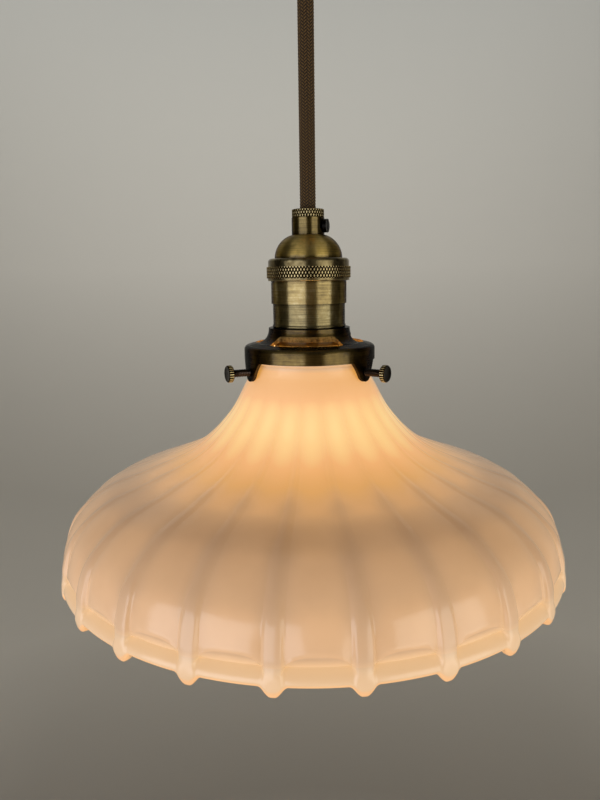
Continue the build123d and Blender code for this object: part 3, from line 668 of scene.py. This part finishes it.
@dataclass
class HangingCord:
    """Cord with a braided cover, pulled straight by the lamp's weight."""

    route: tuple[tuple[float, float, float], ...] = ((0, 0, -41), (0, 0, -78), (0, 0, -118), (0, 0, -158.7))
    mouth: tuple[float, float, float] = (0, 0, -44)
    diameter: float = 7.1
    core_radius: float = 3.0
    bare_end: float = 1.0
    strands: int = 16
    lead: float = 21.5
    strand_half_width: float = 0.46
    strand_half_thickness: float = 0.2
    lift: float = 0.16
    proud: float = 0.07
    # Painted highlight on the top of each strand where it rises over a crossing
    crown_tone: float = 0.35
    samples_per_crossing: int = 2

    def line(self, name: str, bevel: float) -> Object:
        """Make the cord's line as a smooth curve.

        Args:
            name: Name of the curve.
            bevel: Radius of its round section.

        Returns:
            The curve.
        """
        curve = bpy.data.curves.new(name, "CURVE")
        curve.dimensions = "3D"
        curve.resolution_u = 24
        curve.bevel_depth = bevel * MM
        curve.bevel_resolution = 6
        curve.use_fill_caps = True
        spline = curve.splines.new("NURBS")
        spline.points.add(len(self.route) - 1)
        for point, place in zip(spline.points, self.route):
            point.co = (*(Vector(place) * MM), 1)
        spline.order_u = 3
        spline.use_endpoint_u = True
        line = bpy.data.objects.new(name, curve)
        bpy.context.scene.collection.objects.link(line)
        return line

    def centreline(self) -> list[Vector]:
        """Read the points of the cord's line, in millimetres."""
        line = self.line("cord_line", 0.0)
        mesh = bpy.data.meshes.new_from_object(line)
        points = [v.co / MM for v in mesh.vertices]
        bpy.data.meshes.remove(mesh)
        bpy.data.curves.remove(line.data)
        return points

    def strand(self, sketch: Sketch, line: list[Vector], number: int, direction: int) -> None:
        """Add one strand of the braid, over two and under two.

        Args:
            sketch: Sketch that takes the strand.
            line: Points of the cord's line.
            number: Number of the strand.
            direction: 1 for a strand that climbs one way round and -1 for the other way.
        """
        length = sum((b - a).length for a, b in zip(line, line[1:])) - self.bare_end
        turns = length / self.lead
        steps = int(turns * 2 * self.strands * self.samples_per_crossing)
        middle = self.diameter / 2 - self.strand_half_thickness - self.lift + self.proud
        rows, tones = [], []
        for i in range(steps + 1):
            share = i / steps
            place, run = self.along(line, self.bare_end + share * length)
            crossing = 2 * number + direction * 2 * self.strands * turns * share
            wave = math.sqrt(2) * math.cos(math.pi / 2 * (crossing - 0.5))
            over = direction * min(max(wave, -1), 1)
            radius = middle + self.lift * over
            angle = 2 * math.pi * (number / self.strands + direction * turns * share)
            side = run.orthogonal().normalized()
            out = Quaternion(run, angle) @ side
            round_way = run.cross(out) * direction
            climb = math.atan2(self.lead, 2 * math.pi * middle)
            across = run * math.cos(climb) - round_way * math.sin(climb)
            centre = place + out * radius
            rows.append([
                centre - across * self.strand_half_width,
                centre + out * self.strand_half_thickness,
                centre + across * self.strand_half_width,
                centre - out * self.strand_half_thickness,
            ])
            tones.append([0.0, self.crown_tone * (1 + over), 0.0, 0.0])
        sketch.add_grid(rows, tone=tones)

    @staticmethod
    def along(line: list[Vector], distance: float) -> tuple[Vector, Vector]:
        """Place and direction at a distance along a line of points."""
        for a, b in zip(line, line[1:]):
            run = (b - a).length
            if distance <= run or b is line[-1]:
                return a + (b - a) * (distance / run), (b - a).normalized()
            distance -= run
        raise ValueError("the line has no points")

    def build(self) -> None:
        core = self.line("cord_core", self.core_radius)
        core.data.materials.append(BRAID_CORE.material())
        points = self.centreline()
        sketch = Sketch()
        for number in range(self.strands):
            for direction in (1, -1):
                self.strand(sketch, points, number, direction)
        braid = sketch.make("cord_braid", BRAID)
        fit(core, Body.CORD.value, Slot.CLOTH, "cord", "cord_neck")
        fit(braid, Body.CORD.value, Slot.CLOTH)


@dataclass
class Knurl:
    """Band of rolled diamonds with flat tops round a turned piece."""

    teeth: int
    period: float
    depth: float
    flank: float = 0.46
    steps: int = 10
    plain_rub: float = 0.86

    def rows(self, radius: float, low: float, high: float) -> Outline:
        """Radius and height of each row of the band, from the top down."""
        count = round((high - low) / self.period * self.steps)
        return [(radius, between(high, low, i / count)) for i in range(count + 1)]

    def rise(self, column: int, row: int) -> float:
        """Height of a diamond at a column and a row, from 0 in the valleys to 1 on its flat top."""
        across, down = column / self.steps, row / self.steps
        from_valley = [0.5 - abs(place - round(place)) for place in (across + down, across - down)]
        return min(1.0, 2 * min(from_valley) / self.flank)

    def sketch(self, above: Outline, band: Outline, below: Outline) -> Sketch:
        """Sketch a closed turned piece with the band between two plain stretches of its outline.

        Args:
            above: Outline that leads to the band.
            band: Rows of the band.
            below: Outline that leads on from it.

        Returns:
            The sketch, with how rubbed each point is.
        """
        columns = self.teeth * self.steps
        turn = 2 * math.pi / columns
        rows, rub = [], []
        for k, (radius, height) in enumerate([*above, *band, *below], start=-len(above)):
            if 0 <= k < len(band):
                rises = [self.rise(i, k) for i in range(columns)]
                rows.append([around(radius - self.depth * (1 - up), height, turn * i)
                             for i, up in enumerate(rises)])
                rub.append(rises)
            else:
                rows.append([around(radius, height, turn * i) for i in range(columns)])
                rub.append([self.plain_rub] * columns)
        sketch = Sketch()
        sketch.add_grid(rows, close_rows=True, rub=rub)
        return sketch


@dataclass
class Socket:
    """Knurled cord grip cap and knurled socket ring."""

    cap_radius: float = 7.3
    cap_bore: float = 3.85
    cap_spigot: float = 5.4
    cap_edge: float = 0.35
    cap_knurl: Knurl = field(default_factory=lambda: Knurl(36, 2.6, 0.32))
    ring_radius: float = 18.6
    ring_bore: float = 15.6
    ring_edge: float = 1.5
    knurl_radius: float = 19.3
    lip_radius: float = 18.8
    shell_bore: float = 17.5
    plain_height: float = 3.7
    plate: float = 1.3
    lip_height: float = 1.2
    lip_edge: float = 0.4
    ring_knurl: Knurl = field(default_factory=lambda: Knurl(84, 2.72, 0.5))
    edge_steps: int = 4
    shoulder_steps: int = 8

    def cap(self) -> Object:
        """Build the cord grip's cap with its knurled rim."""
        low, high = span("cord_grip_cap")
        seat = span("cord_grip_barrel")[1]
        corner = (self.cap_radius - self.cap_edge, high - self.cap_edge)
        top = arc(corner, self.cap_edge, 90, 0, self.edge_steps)
        band = self.cap_knurl.rows(self.cap_radius, seat + self.cap_edge, high - self.cap_edge)
        below = [(self.cap_radius - self.cap_edge, seat), (self.cap_spigot, seat), (self.cap_spigot, low),
                 (self.cap_bore, low)]
        sketch = self.cap_knurl.sketch([(self.cap_bore, high), *top[:-1]], band, below)
        return sketch.make("cord_grip_cap_knurled", KNURLED_BRASS)

    def ring(self) -> Object:
        """Build the socket ring with its rounded shoulder and knurled band."""
        low, high = span("socket_ring")
        corner = (self.ring_radius - self.ring_edge, high - self.ring_edge)
        shoulder = arc(corner, self.ring_edge, 90, 0, self.shoulder_steps)
        knurl_top = high - self.plain_height
        knurl_low = low + self.lip_height
        corner = (self.lip_radius - self.lip_edge, low + self.lip_edge)
        lip = arc(corner, self.lip_edge, 0, -90, self.edge_steps)
        above = [(self.ring_bore, high), *shoulder, (self.ring_radius, knurl_top)]
        band = self.ring_knurl.rows(self.knurl_radius, knurl_low, knurl_top)
        below = [(self.lip_radius, knurl_low), *lip, (self.shell_bore, low),
                 (self.shell_bore, high - self.plate), (self.ring_bore, high - self.plate)]
        return self.ring_knurl.sketch(above, band, below).make("socket_ring_knurled", KNURLED_BRASS)

    def build(self) -> None:
        """Build both pieces in place of their plain solids."""
        fit(self.cap(), Body.LAMP.value, Slot.BRASS, "cord_grip_cap")
        fit(self.ring(), Body.LAMP.value, Slot.BRASS, "socket_ring")


@dataclass
class ThumbScrew:
    """Thumbscrew of the shade holder: a threaded shank and a straight-knurled head."""

    number: int
    azimuth: float
    level: float = -212.3
    tip: float = 27.9
    head_face: float = 38.7
    shank_radius: float = 1.75
    shank_columns: int = 24
    pitch: float = 0.79375
    rows_per_pitch: int = 6
    thread_depth: float = 0.28
    head_radius: float = 3.85
    head_thickness: float = 2.5
    head_edge: float = 0.4
    head_hub: float = 0.45
    head_dish: float = 0.8
    dish_depth: float = 0.12
    dish_middle: float = 0.15
    teeth: int = 22
    points_per_tooth: int = 4
    tooth_depth: float = 0.36
    tooth_rub: float = 1.0
    gap_rub: float = 0.03
    face_rub: float = 0.25
    back_rub: float = 0.2

    def place(self) -> Matrix:
        """Turn a sketch along +Z to point outward at the screw's azimuth and level."""
        outward = around(1.0, 0.0, math.radians(self.azimuth))
        return Matrix.Translation((0, 0, self.level)) @ outward.to_track_quat("Z", "Y").to_matrix().to_4x4()

    def shank(self) -> Object:
        """Build the shank with its thread."""
        columns = self.shank_columns
        length = self.head_face - self.tip
        steps = int(length / self.pitch * self.rows_per_pitch)
        rows = []
        for k in range(steps + 1):
            along = self.tip + length * k / steps
            row = []
            for i in range(columns):
                angle = 2 * math.pi * i / columns
                groove = 0.5 - 0.5 * math.cos(2 * math.pi * (along / self.pitch) - angle)
                radius = self.shank_radius - self.thread_depth * groove
                row.append(Vector((radius * math.cos(angle), radius * math.sin(angle), along)))
            rows.append(row)
        sketch = Sketch()
        sketch.add_grid(rows)
        sketch.add_fan(Vector((0, 0, self.tip)), list(reversed(range(columns))))
        sketch.add_fan(Vector((0, 0, self.head_face)), range(steps * columns, (steps + 1) * columns))
        return sketch.make(f"thumb_screw_{self.number}_shank_threaded", THREAD_BRASS, self.place())

    def head(self) -> Object:
        """Build the head with its toothed rim, rounded edges and dished face."""
        tooth = self.points_per_tooth
        columns = tooth * self.teeth
        turn = 2 * math.pi / columns
        back, front = self.head_face, self.head_face + self.head_thickness
        inner = self.head_radius - self.head_edge
        outline = [(inner * self.head_hub, back), (inner, back), (self.head_radius, back + self.head_edge),
                   (self.head_radius, front - self.head_edge), (inner, front),
                   (inner * self.head_dish, front - self.dish_depth)]
        toothed = {2, 3}
        rows, rub = [], []
        for k, (radius, along) in enumerate(outline):
            deep = [self.tooth_depth * (k in toothed) * (i % tooth >= tooth / 2) for i in range(columns)]
            row = []
            for i, d in enumerate(deep):
                angle = turn * i
                row.append(Vector(((radius - d) * math.cos(angle), (radius - d) * math.sin(angle), along)))
            rows.append(row)
            on_rim, in_gap = self.tooth_rub if k in toothed else self.face_rub, self.gap_rub
            rub.append([in_gap if d else on_rim for d in deep])
        sketch = Sketch()
        sketch.add_grid(rows, rub=rub)
        last = (len(outline) - 1) * columns
        middle = Vector((0, 0, front - self.dish_middle))
        sketch.add_fan(Vector((0, 0, back)), list(reversed(range(columns))), rub=self.back_rub)
        sketch.add_fan(middle, range(last, last + columns), rub=self.face_rub)
        return sketch.make(f"thumb_screw_{self.number}_head_knurled", KNURLED_BRASS, self.place())

    def build(self) -> None:
        """Build the screw's two pieces in place of their plain solids."""
        for part, piece in (("shank", self.shank()), ("head", self.head())):
            node = f"thumb_screw_{self.number}_{part}"
            fit(piece, node, Slot.BRASS, node)


@dataclass
class GlassShade:
    """Pressed opal shade with ribs, pillowed panels, a stepped foot and a rim with nubs."""

    neck_radius: float = 27.6
    neck_level: float = -214.0
    lip_radius: float = 28.4
    lip_height: float = 6.0
    lip_edge: float = 0.5
    lip_fall: float = 1.2
    waist_radius: float = 26.4
    # Points between the waist and the neck, as shares of the way outward and down
    waist: tuple[Point, ...] = ((0.0, 0.0), (0.45, 0.5), (0.8, 0.84))
    panel_radius: float = 116.0
    panel_drop: float = 77.0
    # Points of the bell, as shares of the way outward and down
    bell: tuple[Point, ...] = ((0, 0), (0.03, 0.06), (0.114, 0.232), (0.285, 0.432), (0.543, 0.566),
                               (0.787, 0.675), (0.944, 0.834), (1, 1))
    bell_end: Point = (0.4, -5.0)
    bell_steps: int = 40
    bell_rows: int = 72
    wall: float = 4.0
    step_inset: float = 2.2
    step_height: float = 5.0
    rim_radius: float = 117.2
    rim_height: float = 6.3
    rim_thickness: float = 4.6
    rim_edge: float = 1.7
    crease_level: float = -291.0
    edge_level: float = -294.8
    ribs: int = 24
    rib_half_angle: float = 2.0
    shoulder_relief: float = 0.1
    rib_height: float = 0.6
    rib_crown: float = 0.3
    valley_depth: float = 0.6
    foot_depth: float = 1.2
    # Shares of the bell where the ribs start, deepen and run into the foot, and the radii where they narrow
    ribs_start: Run = (0.04, 0.12)
    ribs_deepen: Run = (0.68, 0.24)
    ribs_foot: Run = (0.88, 0.12)
    ribs_narrow: Run = (104.0, 10.0)
    narrow_share: float = 0.36
    step_rows: int = 6
    step_bow: float = 1.3
    edge_rows: int = 5
    nub_drop: float = 3.8
    nub_half_width: float = 0.7
    nub_foot_half_width: float = 5.2
    nub_root: float = 0.6
    # Painted glow of the glass: the bulb's light on the wall is worked out from these levels and values and painted
    # in as emission, with painted shadow of the holder on the neck, painted shade on the ribs, the foot and the
    # bell's turn, and painted light on the rim's edge and inside
    bulb_levels: tuple[float, ...] = (-225, -235, -245, -255, -265, -275, -285)
    light_scale: float = 1e4
    edge_light: float = 2.2
    edge_lit_rows: int = 8
    inside_light: float = 0.6
    foot_light: Change = (0.72, 0.5)
    foot_fade: Run = (-3.0, 5.0)
    holder_shade: float = 0.26
    rib_shade: Change = (0.3, 0.14)
    rib_blur: Change = (2.4, 1.25)
    # Drops below the neck where the holder's shadow ends and the ribs' shade comes, sharpens and pales
    holder_fade: Run = (3.0, 20.0)
    rib_comes: Run = (4.0, 16.0)
    rib_sharpens: Run = (20.0, 42.0)
    rib_pales: Run = (48.0, 24.0)
    depth_of_glow: float = 1.2
    # Painted glow line along the rim band: how strongly it shows and where it fades in
    rim_share: float = 0.75
    rim_fade: Run = (-2.5, 5.0)
    # Painted shade in a band round the turn of the bell
    bend_level: float = -266.0
    bend_reach: float = 4.5
    bend_shade: float = 0.05

    def build(self) -> None:
        """Build the shade in place of its plain solid."""
        piece = self.sketch().make("glass_shade_pressed", OPAL_GLASS)
        fit(piece, Body.LAMP.value, Slot.OPAL, "glass_shade")

    def bell_curve(self, low: float) -> Outline:
        """Outer curve of the panels from the neck down to a level."""
        width = self.panel_radius - self.neck_radius
        points = [(self.neck_radius + out * width, self.neck_level - down * self.panel_drop)
                  for out, down in self.bell]
        points.append((self.panel_radius + self.bell_end[0], points[-1][1] + self.bell_end[1]))
        curve = spline_through(points, self.bell_steps)
        inside = [p for p in curve if p[1] > low] + [next(p for p in curve if p[1] <= low)]
        lengths = [0.0]
        for a, b in zip(inside, inside[1:]):
            lengths.append(lengths[-1] + math.dist(a, b))
        picked = []
        k = 0
        for i in range(self.bell_rows + 1):
            share = lengths[-1] * i / self.bell_rows
            while k < len(inside) - 2 and lengths[k + 1] < share:
                k += 1
            part = (share - lengths[k]) / (lengths[k + 1] - lengths[k])
            picked.append(tuple(between(a, b, part) for a, b in zip(inside[k], inside[k + 1])))
        return picked

    def curves(self) -> tuple[Outline, Outline, Outline, int]:
        """Lay out the outline of a panel's middle, of its edge and of a rib, row by row.

        Returns:
            The three outlines round the whole wall, and the number of rows on the outside.
        """
        lip_top = span("glass_shade")[1]
        lip_low = lip_top - self.lip_height
        panel = self.bell_curve(self.crease_level)
        side = self.bell_curve(self.edge_level)
        last = len(panel) - 1
        start, lower, foot = ([ease_over(i / last, run) for i in range(last + 1)]
                              for run in (self.ribs_start, self.ribs_deepen, self.ribs_foot))
        more = self.foot_depth - self.valley_depth
        sunk = [between(self.shoulder_relief, self.valley_depth, s) + more * f for s, f in zip(lower, foot)]
        edge = moved_out(side, lambda i: -start[i] * sunk[i])
        rib = moved_out(side, lambda i: start[i] * between(self.shoulder_relief, self.rib_height, lower[i]))
        neck = [(self.lip_radius - self.lip_edge, lip_top), (self.lip_radius, lip_top - self.lip_edge),
                (self.lip_radius, lip_low)]
        neck += [(between(self.waist_radius, self.neck_radius, out),
                  between(lip_low - self.lip_fall, self.neck_level, down)) for out, down in self.waist]
        foot_low = self.neck_level - self.panel_drop - self.step_height
        foot_radius = self.panel_radius - self.step_inset
        rim_low = foot_low - self.rim_height
        rim_top = rim_low + self.rim_edge
        steps = [i / self.step_rows for i in range(1, self.step_rows + 1)]
        climb = [i / (2 * self.step_rows) for i in range(1, 2 * self.step_rows + 1)]
        under_panel = [(between(panel[-1][0], foot_radius, s ** self.step_bow),
                        between(panel[-1][1], foot_low, s)) for s in steps]
        under_edge = [(between(edge[-1][0], foot_radius, s), between(edge[-1][1], foot_low, s))
                      for s in steps]
        band = [(between(foot_radius, self.rim_radius, math.sin(math.pi / 2 * s)),
                 between(foot_low, rim_top, s)) for s in steps]
        crest = [(between(rib[-1][0], self.rim_radius + self.rib_height, s), between(rib[-1][1], rim_top, s))
                 for s in climb]
        rows = self.edge_rows
        under = arc((self.rim_radius - self.rim_edge, rim_top), self.rim_edge, 0, -90, rows)[1:]
        inner_radius = self.rim_radius - self.rim_thickness
        under += arc((inner_radius + self.rim_edge, rim_top), self.rim_edge, -90, -180, rows)
        raised = [(r + self.rib_height * max(0.0, 1 - i / rows), z)
                  for i, (r, z) in enumerate(under, start=1)]
        inner = list(reversed(moved_out(panel[::2], lambda i: -self.wall)))
        inner += [(inner[-1][0], lip_top - self.lip_edge), (inner[-1][0] + self.lip_edge, lip_top)]
        outside = len(neck) + len(panel) + len(climb)
        return (neck + panel + under_panel + band + under + inner,
                neck + edge + under_edge + band + under + inner,
                neck + rib + crest + raised + inner, outside)

    def columns(self) -> list[Point]:
        """Lay out the columns of one panel with half a rib on each side.

        Returns:
            For each column a share of the way from the panel's middle to its edge, below 0 on the left, and
            a share of the way from the edge to the rib's middle.
        """
        half = [0.0, 0.2, 0.4, 0.57, 0.71, 0.82, 0.9, 0.96, 1.0]
        climb = [0.07, 0.15, 0.22, 0.29, 0.36, 0.5, 0.65, 0.8, 1.0]
        right = [(s, 0.0) for s in half] + [(1.0, s) for s in climb]
        return [(-s, c) for s, c in reversed(right[1:-1])] + right

    def sketch(self) -> Sketch:
        """Sketch the whole wall as one closed grid."""
        panel, edge, rib, outside = self.curves()
        sector = 2 * math.pi / self.ribs
        columns = self.columns()
        rim_low = min(z for _, z in panel)
        rows, glow, piped = [], [], []
        for k in range(len(panel)):
            light = self.light(panel, k, outside)
            ends = (panel[k], edge[k], rib[k])
            places = [self.place(ends, side, climb, rim_low) for side, climb in columns]
            tones = [self.glow(light, panel[k], azimuth) for _, azimuth in places]
            # Painted glow line on the outside of the rim band
            share = self.rim_share if k < outside else 0.0
            rim = [share * ease_over(self.edge_level - p.y, self.rim_fade) for p, _ in places]
            row = []
            for n in range(self.ribs):
                row += [around(p.x, p.y, n * sector + azimuth) for p, azimuth in places]
            rows.append(row)
            glow.append(tones * self.ribs)
            piped.append(rim * self.ribs)
        sketch = Sketch()
        sketch.add_grid(rows, close_rows=True, glow=glow, piped=piped)
        return sketch

    def place(self, ends: tuple[Point, Point, Point], side: float, climb: float,
              rim_low: float) -> tuple[Vector, float]:
        """Place one point of the wall in the first panel.

        Args:
            ends: Radius and height at the panel's middle, at its edge and on the rib.
            side: Share of the way from the middle to the edge, below 0 on the left.
            climb: Share of the way from the edge to the rib's middle.
            rim_low: Lowest level of the rim between the nubs.

        Returns:
            The point's radius and height, and its azimuth in radians.
        """
        panel, edge, rib = ends
        half_sector = math.pi / self.ribs
        half_rib = math.radians(self.rib_half_angle)
        azimuth = math.copysign(abs(side) * (half_sector - half_rib) + climb * half_rib, side)
        bow = abs(side) ** 3
        narrow = ease_over(panel[0], self.ribs_narrow)
        crown = self.rib_crown * (1 - (1 - climb) ** 2)
        rise = (1 - self.rib_crown) * ease(climb / between(1.0, self.narrow_share, narrow)) + crown
        radius, height = (between(between(a, b, bow), c, rise) for a, b, c in zip(panel, edge, rib))
        away = (half_sector - abs(azimuth)) * panel[0]
        nub = ease((self.nub_foot_half_width - away) / (self.nub_foot_half_width - self.nub_half_width))
        root = self.rim_height * self.nub_root
        hang = ease((rim_low + root - height) / root)
        return Vector((radius, height - self.nub_drop * nub * hang)), azimuth

    def light(self, panel: Outline, row: int, outside: int) -> float:
        """Light from the bulb that reaches the wall at a row, falling off with distance and slant.

        Args:
            panel: Outline of the panel's middle.
            row: Number of the row.
            outside: Number of rows on the outside.

        Returns:
            The painted light, near 1 where the wall is half way up the bell.
        """
        if row >= outside:
            return self.edge_light if row < outside + self.edge_lit_rows else self.inside_light
        radius, height = panel[row]
        before, after = panel[max(row - 1, 0)], panel[row + 1]
        run = Vector((after[0] - before[0], after[1] - before[1])).normalized()
        square = Vector((run.y, -run.x))
        if height < self.crease_level:
            return between(*self.foot_light, ease_over(height - self.edge_level, self.foot_fade))
        total = 0.0
        for level in self.bulb_levels:
            way = Vector((-radius, level - height))
            total += max(0.0, square.dot(way.normalized())) / way.length_squared
        out_of_shadow = ease_over(self.neck_level - height, self.holder_fade)
        # Painted shade round the turn of the bell
        bend = 1 - self.bend_shade * math.exp(-((height - self.bend_level) / self.bend_reach) ** 2)
        mean = total / len(self.bulb_levels) * self.light_scale
        return mean * between(self.holder_shade, 1.0, out_of_shadow) * bend

    def glow(self, light: float, panel: Point, azimuth: float) -> float:
        """Glow of the wall, from 0 to 1, with the thick glass of the ribs a little darker.

        Args:
            light: Light that reaches the wall.
            panel: Radius and height at the panel's middle.
            azimuth: Azimuth from the panel's middle, in radians.

        Returns:
            The painted glow.
        """
        down = self.neck_level - panel[1]
        blur = between(*self.rib_blur, ease_over(down, self.rib_sharpens))
        away = (math.pi / self.ribs - abs(azimuth)) / math.radians(blur * self.rib_half_angle)
        shade = between(*self.rib_shade, ease_over(down, self.rib_pales))
        thick = ease_over(down, self.rib_comes) * shade * math.exp(-away * away)
        return 1 - math.exp(-light * (1 - thick) / self.depth_of_glow)


@dataclass
class Bulb:
    """Frosted glass of the bulb."""

    neck_radius: float = 13.6
    radius: float = 30.0
    shoulder: float = 0.2
    cap_gap: float = 0.3
    hub_radius: float = 2.0
    belly_end: float = -88.0
    belly_steps: int = 16
    steps: int = 24
    segments: int = 64

    def build(self) -> None:
        """Build the glass in place of its plain solid."""
        low, _ = span("bulb_envelope")
        top = span("bulb_cap")[0] - self.cap_gap
        equator = low + self.radius
        drop = top - equator
        neck = []
        for i in range(self.steps + 1):
            t = i / self.steps
            bend = (2 * t**3 - 3 * t**2 + 1, t**3 - 2 * t**2 + t, -2 * t**3 + 3 * t**2, t**3 - t**2)
            radius = bend[0] * self.neck_radius + bend[1] * self.shoulder * drop + bend[2] * self.radius
            height = bend[0] * top - bend[1] * drop + bend[2] * equator - bend[3] * drop
            neck.append((radius, height))
        belly = arc((0, equator), self.radius, 0, self.belly_end, self.belly_steps)
        count = self.segments
        sketch = turned([(self.hub_radius, top), *neck, *belly[1:]], count, closed=False)
        rings = len(neck) + len(belly)
        sketch.add_fan(Vector((0, 0, top)), list(reversed(range(count))))
        sketch.add_fan(Vector((0, 0, low)), range((rings - 1) * count, rings * count))
        fit(sketch.make("bulb_envelope_frosted", FROSTED_BULB), Body.BULB.value, Slot.BULB, "bulb_envelope")


@dataclass(frozen=True)
class Softbox:
    """Soft light that faces the lamp, with its power in watts."""

    name: str
    azimuth: float
    elevation: float
    distance: float
    size: tuple[float, float]
    power: float
    colour: str
    in_reflections: bool = True

    def hang(self, aim: Vector) -> None:
        """Hang the light so that it faces a point of the lamp."""
        light = bpy.data.lights.new(self.name, "AREA")
        light.shape = "RECTANGLE"
        light.size, light.size_y = (s * MM for s in self.size)
        light.energy = self.power
        light.color = linear(self.colour)[:3]
        box = bpy.data.objects.new(self.name, light)
        rise = math.radians(self.elevation)
        back = around(math.cos(rise), math.sin(rise), math.radians(self.azimuth))
        box.location = (aim + back * self.distance) * MM
        box.rotation_mode = "QUATERNION"
        box.rotation_quaternion = back.to_track_quat("Z", "Y")
        box.visible_camera = False
        box.visible_glossy = self.in_reflections
        bpy.context.scene.collection.objects.link(box)


@dataclass
class Studio:
    """Plain pale stage, soft lights and the camera at the photograph's viewing angle."""

    floor_level: float = -900.0
    floor_radius: float = 600.0
    hub_radius: float = 0.5
    cove_radius: float = 1800.0
    cove_steps: int = 24
    wall_top: float = 2200.0
    segments: int = 96
    camera_place: tuple[float, float, float] = (-4.8, -315.0, -168.8)
    camera_pitch: float = 10.6
    camera_roll: float = 0.82
    focal_pixels: float = 672.0
    frame_height: float = 800.0
    sensor: float = 36.0
    nearest: float = 10.0
    aim: tuple[float, float, float] = (0, 0, -200)
    card_half_angle: int = 112
    card_radius: float = 1700.0
    card_levels: tuple[float, float] = (-1000.0, 900.0)
    card_step: int = 8
    softboxes: tuple[Softbox, ...] = (
        Softbox("light_left", -39, -11, 1300, (1400, 1300), 11, "#f7f8ff"),
        Softbox("light_right", 47, -11, 1300, (1050, 1300), 7, "#fdfbf2"),
        Softbox("light_side_-96", -96, -14, 600, (500, 600), 1.5, "#fbfaf6", in_reflections=False),
        Softbox("light_side_96", 96, -14, 600, (500, 600), 1.5, "#fbfaf6", in_reflections=False))
    wash_place: tuple[float, float, float] = (-100.0, 1200.0, 1300.0)
    wash_size: tuple[float, float] = (2400.0, 600.0)
    wash_tilt: float = 92.0
    wash_power: float = 26.0
    air: str = "#9aa0a6"
    air_strength: float = 0.3

    def stage(self) -> None:
        """Build the floor, which curves up into a wall all round."""
        top = self.floor_level + self.cove_radius
        cove = arc((self.floor_radius, top), self.cove_radius, -90, 0, self.cove_steps)
        wall = (self.floor_radius + self.cove_radius, self.wall_top)
        outline = [(self.hub_radius, self.floor_level), *cove, wall]
        sketch = turned(outline, self.segments, closed=False)
        sketch.add_fan(Vector((0, 0, self.floor_level)), range(self.segments))
        floor = sketch.make("stage_floor", STAGE_PAINT)

    def flag(self) -> None:
        """Stand a black card behind the camera, which only reflections see, for the brass's dark stripes."""
        half = self.card_half_angle
        turns = [math.radians(a) for a in range(-half, half + 1, self.card_step)]
        sketch = Sketch()
        sketch.add_grid([[around(self.card_radius, z, a) for a in turns] for z in self.card_levels],
                        close_columns=False)
        card = sketch.make("stage_card", CARD_CLOTH)
        card.visible_camera = card.visible_diffuse = False
        card.visible_shadow = card.visible_transmission = False

    def wash(self) -> None:
        """Light the wall behind the lamp from above, out of sight."""
        light = bpy.data.lights.new("light_wall", "AREA")
        light.shape = "RECTANGLE"
        light.size, light.size_y = (s * MM for s in self.wash_size)
        light.energy = self.wash_power
        wash = bpy.data.objects.new("light_wall", light)
        wash.location = Vector(self.wash_place) * MM
        wash.rotation_euler = (math.radians(self.wash_tilt), 0, 0)
        wash.visible_camera = False
        bpy.context.scene.collection.objects.link(wash)

    def camera(self) -> None:
        """Set the camera."""
        data = bpy.data.cameras.new("camera")
        data.sensor_width = self.sensor
        data.lens = self.focal_pixels / self.frame_height * self.sensor
        data.clip_start = self.nearest * MM
        camera = bpy.data.objects.new("camera", data)
        camera.location = Vector(self.camera_place) * MM
        tilt = Matrix.Rotation(math.radians(90 - self.camera_pitch), 4, "X")
        roll = Matrix.Rotation(math.radians(-self.camera_roll), 4, "Z")
        camera.rotation_euler = (tilt @ roll).to_euler()
        bpy.context.scene.collection.objects.link(camera)
        bpy.context.scene.camera = camera

    def build(self) -> None:
        """Build the stage, the lights and the camera."""
        self.stage()
        self.flag()
        self.camera()
        for softbox in self.softboxes:
            softbox.hang(Vector(self.aim))
        self.wash()
        world = bpy.data.worlds.new("studio_air")
        world.use_nodes = True
        background = world.node_tree.nodes["Background"]
        background.inputs["Color"].default_value = linear(self.air)
        background.inputs["Strength"].default_value = self.air_strength
        scene = bpy.context.scene
        scene.world = world
        scene.view_settings.view_transform = "Standard"


def main() -> None:
    """Dress the light and set it in the studio."""
    logging.basicConfig(level=logging.INFO, format="%(name)s: %(message)s")
    dress_solids()
    Studio().build()
    HangingCord().build()
    Socket().build()
    for number, azimuth in enumerate((55, 175, 295), start=1):
        ThumbScrew(number, azimuth).build()
    GlassShade().build()
    Bulb().build()


if __name__ == "__main__":
    main()
